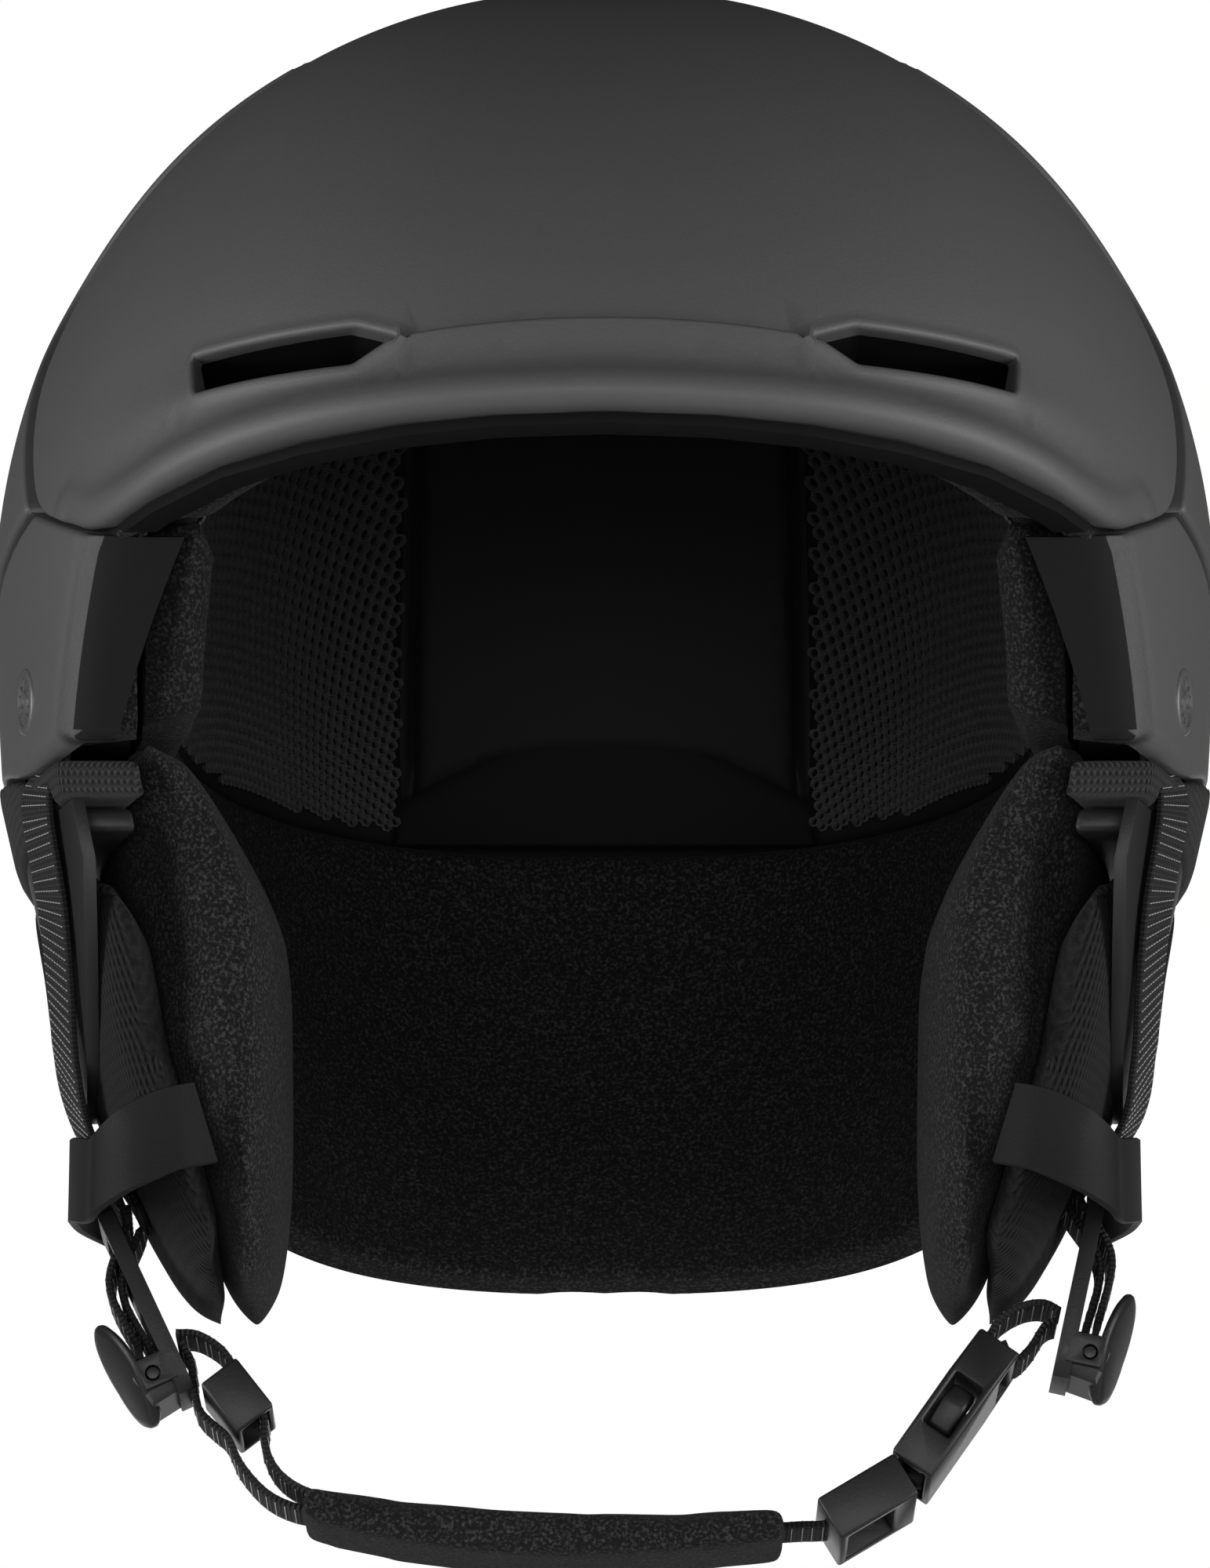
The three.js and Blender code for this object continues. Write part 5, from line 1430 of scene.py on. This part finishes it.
# ---- chin strap webbing, doubled where it turns back through its fittings ----
def flatRun(points):
    return [(x, -8, z, 0, 1, 0) for x, z in points]


chinRuns = {
    "chinStrapRight": ("chin_strap_right", [
        [(-76.4, -94.6), (-72.5, -94.9), (-68.2, -97.6), (-65.4, -101.6), (-62.3, -105.4), (-60.6, -109.6),
         (-60.4, -114.6), (-58.4, -119.2), (-54.6, -122.4), (-49.0, -124.6)],
        [(-75.6, -96.4), (-73.6, -99.6), (-73.2, -104.0), (-72.0, -108.6), (-69.3, -111.4), (-66.9, -113.6),
         (-64.6, -118.4), (-60.4, -123.2), (-55.6, -125.8), (-49.0, -127.2)]]),
    "chinStrapMiddle": ("chin_strap_middle", [
        [(26.0, -129.8), (31.8, -129.5), (35, -129.3), (38.6, -129.2), (42.6, -128.6)]]),
    "chinStrapLeft": ("chin_strap_left", [
        [(67.6, -97.4), (69.8, -92.8), (74.2, -89.8), (78.2, -89.2), (81.0, -90.6)],
        [(70.8, -96.2), (72.6, -99.8), (75.6, -97.4), (78.2, -93.4), (80.2, -92.4)]]),
}
for name, (node, runs) in chinRuns.items():
    for number, path in enumerate(runs):
        label = name if not number else f"{name}Back"
        piece, *run = makeStrap(label, flatRun(path), 14.6, webbingBlack, thickness=1.2)
        if number:
            settle(piece, "chin", "webbing")
        else:
            settle(piece, "chin", "webbing", node)
        stitchStrap(f"{label}Stitches", run, 14.6, "chin")
bpy.data.objects.remove(dash)
print("straps made")


# ---- floor ----
def makeFloor():
    mesh = bpy.data.meshes.new("floor")
    shape = bmesh.new()
    bmesh.ops.create_circle(shape, cap_ends=True, segments=96, radius=1.1)
    bmesh.ops.translate(shape, verts=shape.verts, vec=(0, 0, -0.56))
    shape.to_mesh(mesh)
    shape.free()
    made, _, shader = startMaterial("paleFloor", Roughness=0.8)
    shader.inputs["Base Color"].default_value = (0.85, 0.85, 0.85, 1)
    mesh.materials.append(made)
    floor = bpy.data.objects.new("floor", mesh)
    bpy.context.scene.collection.objects.link(floor)


makeFloor()
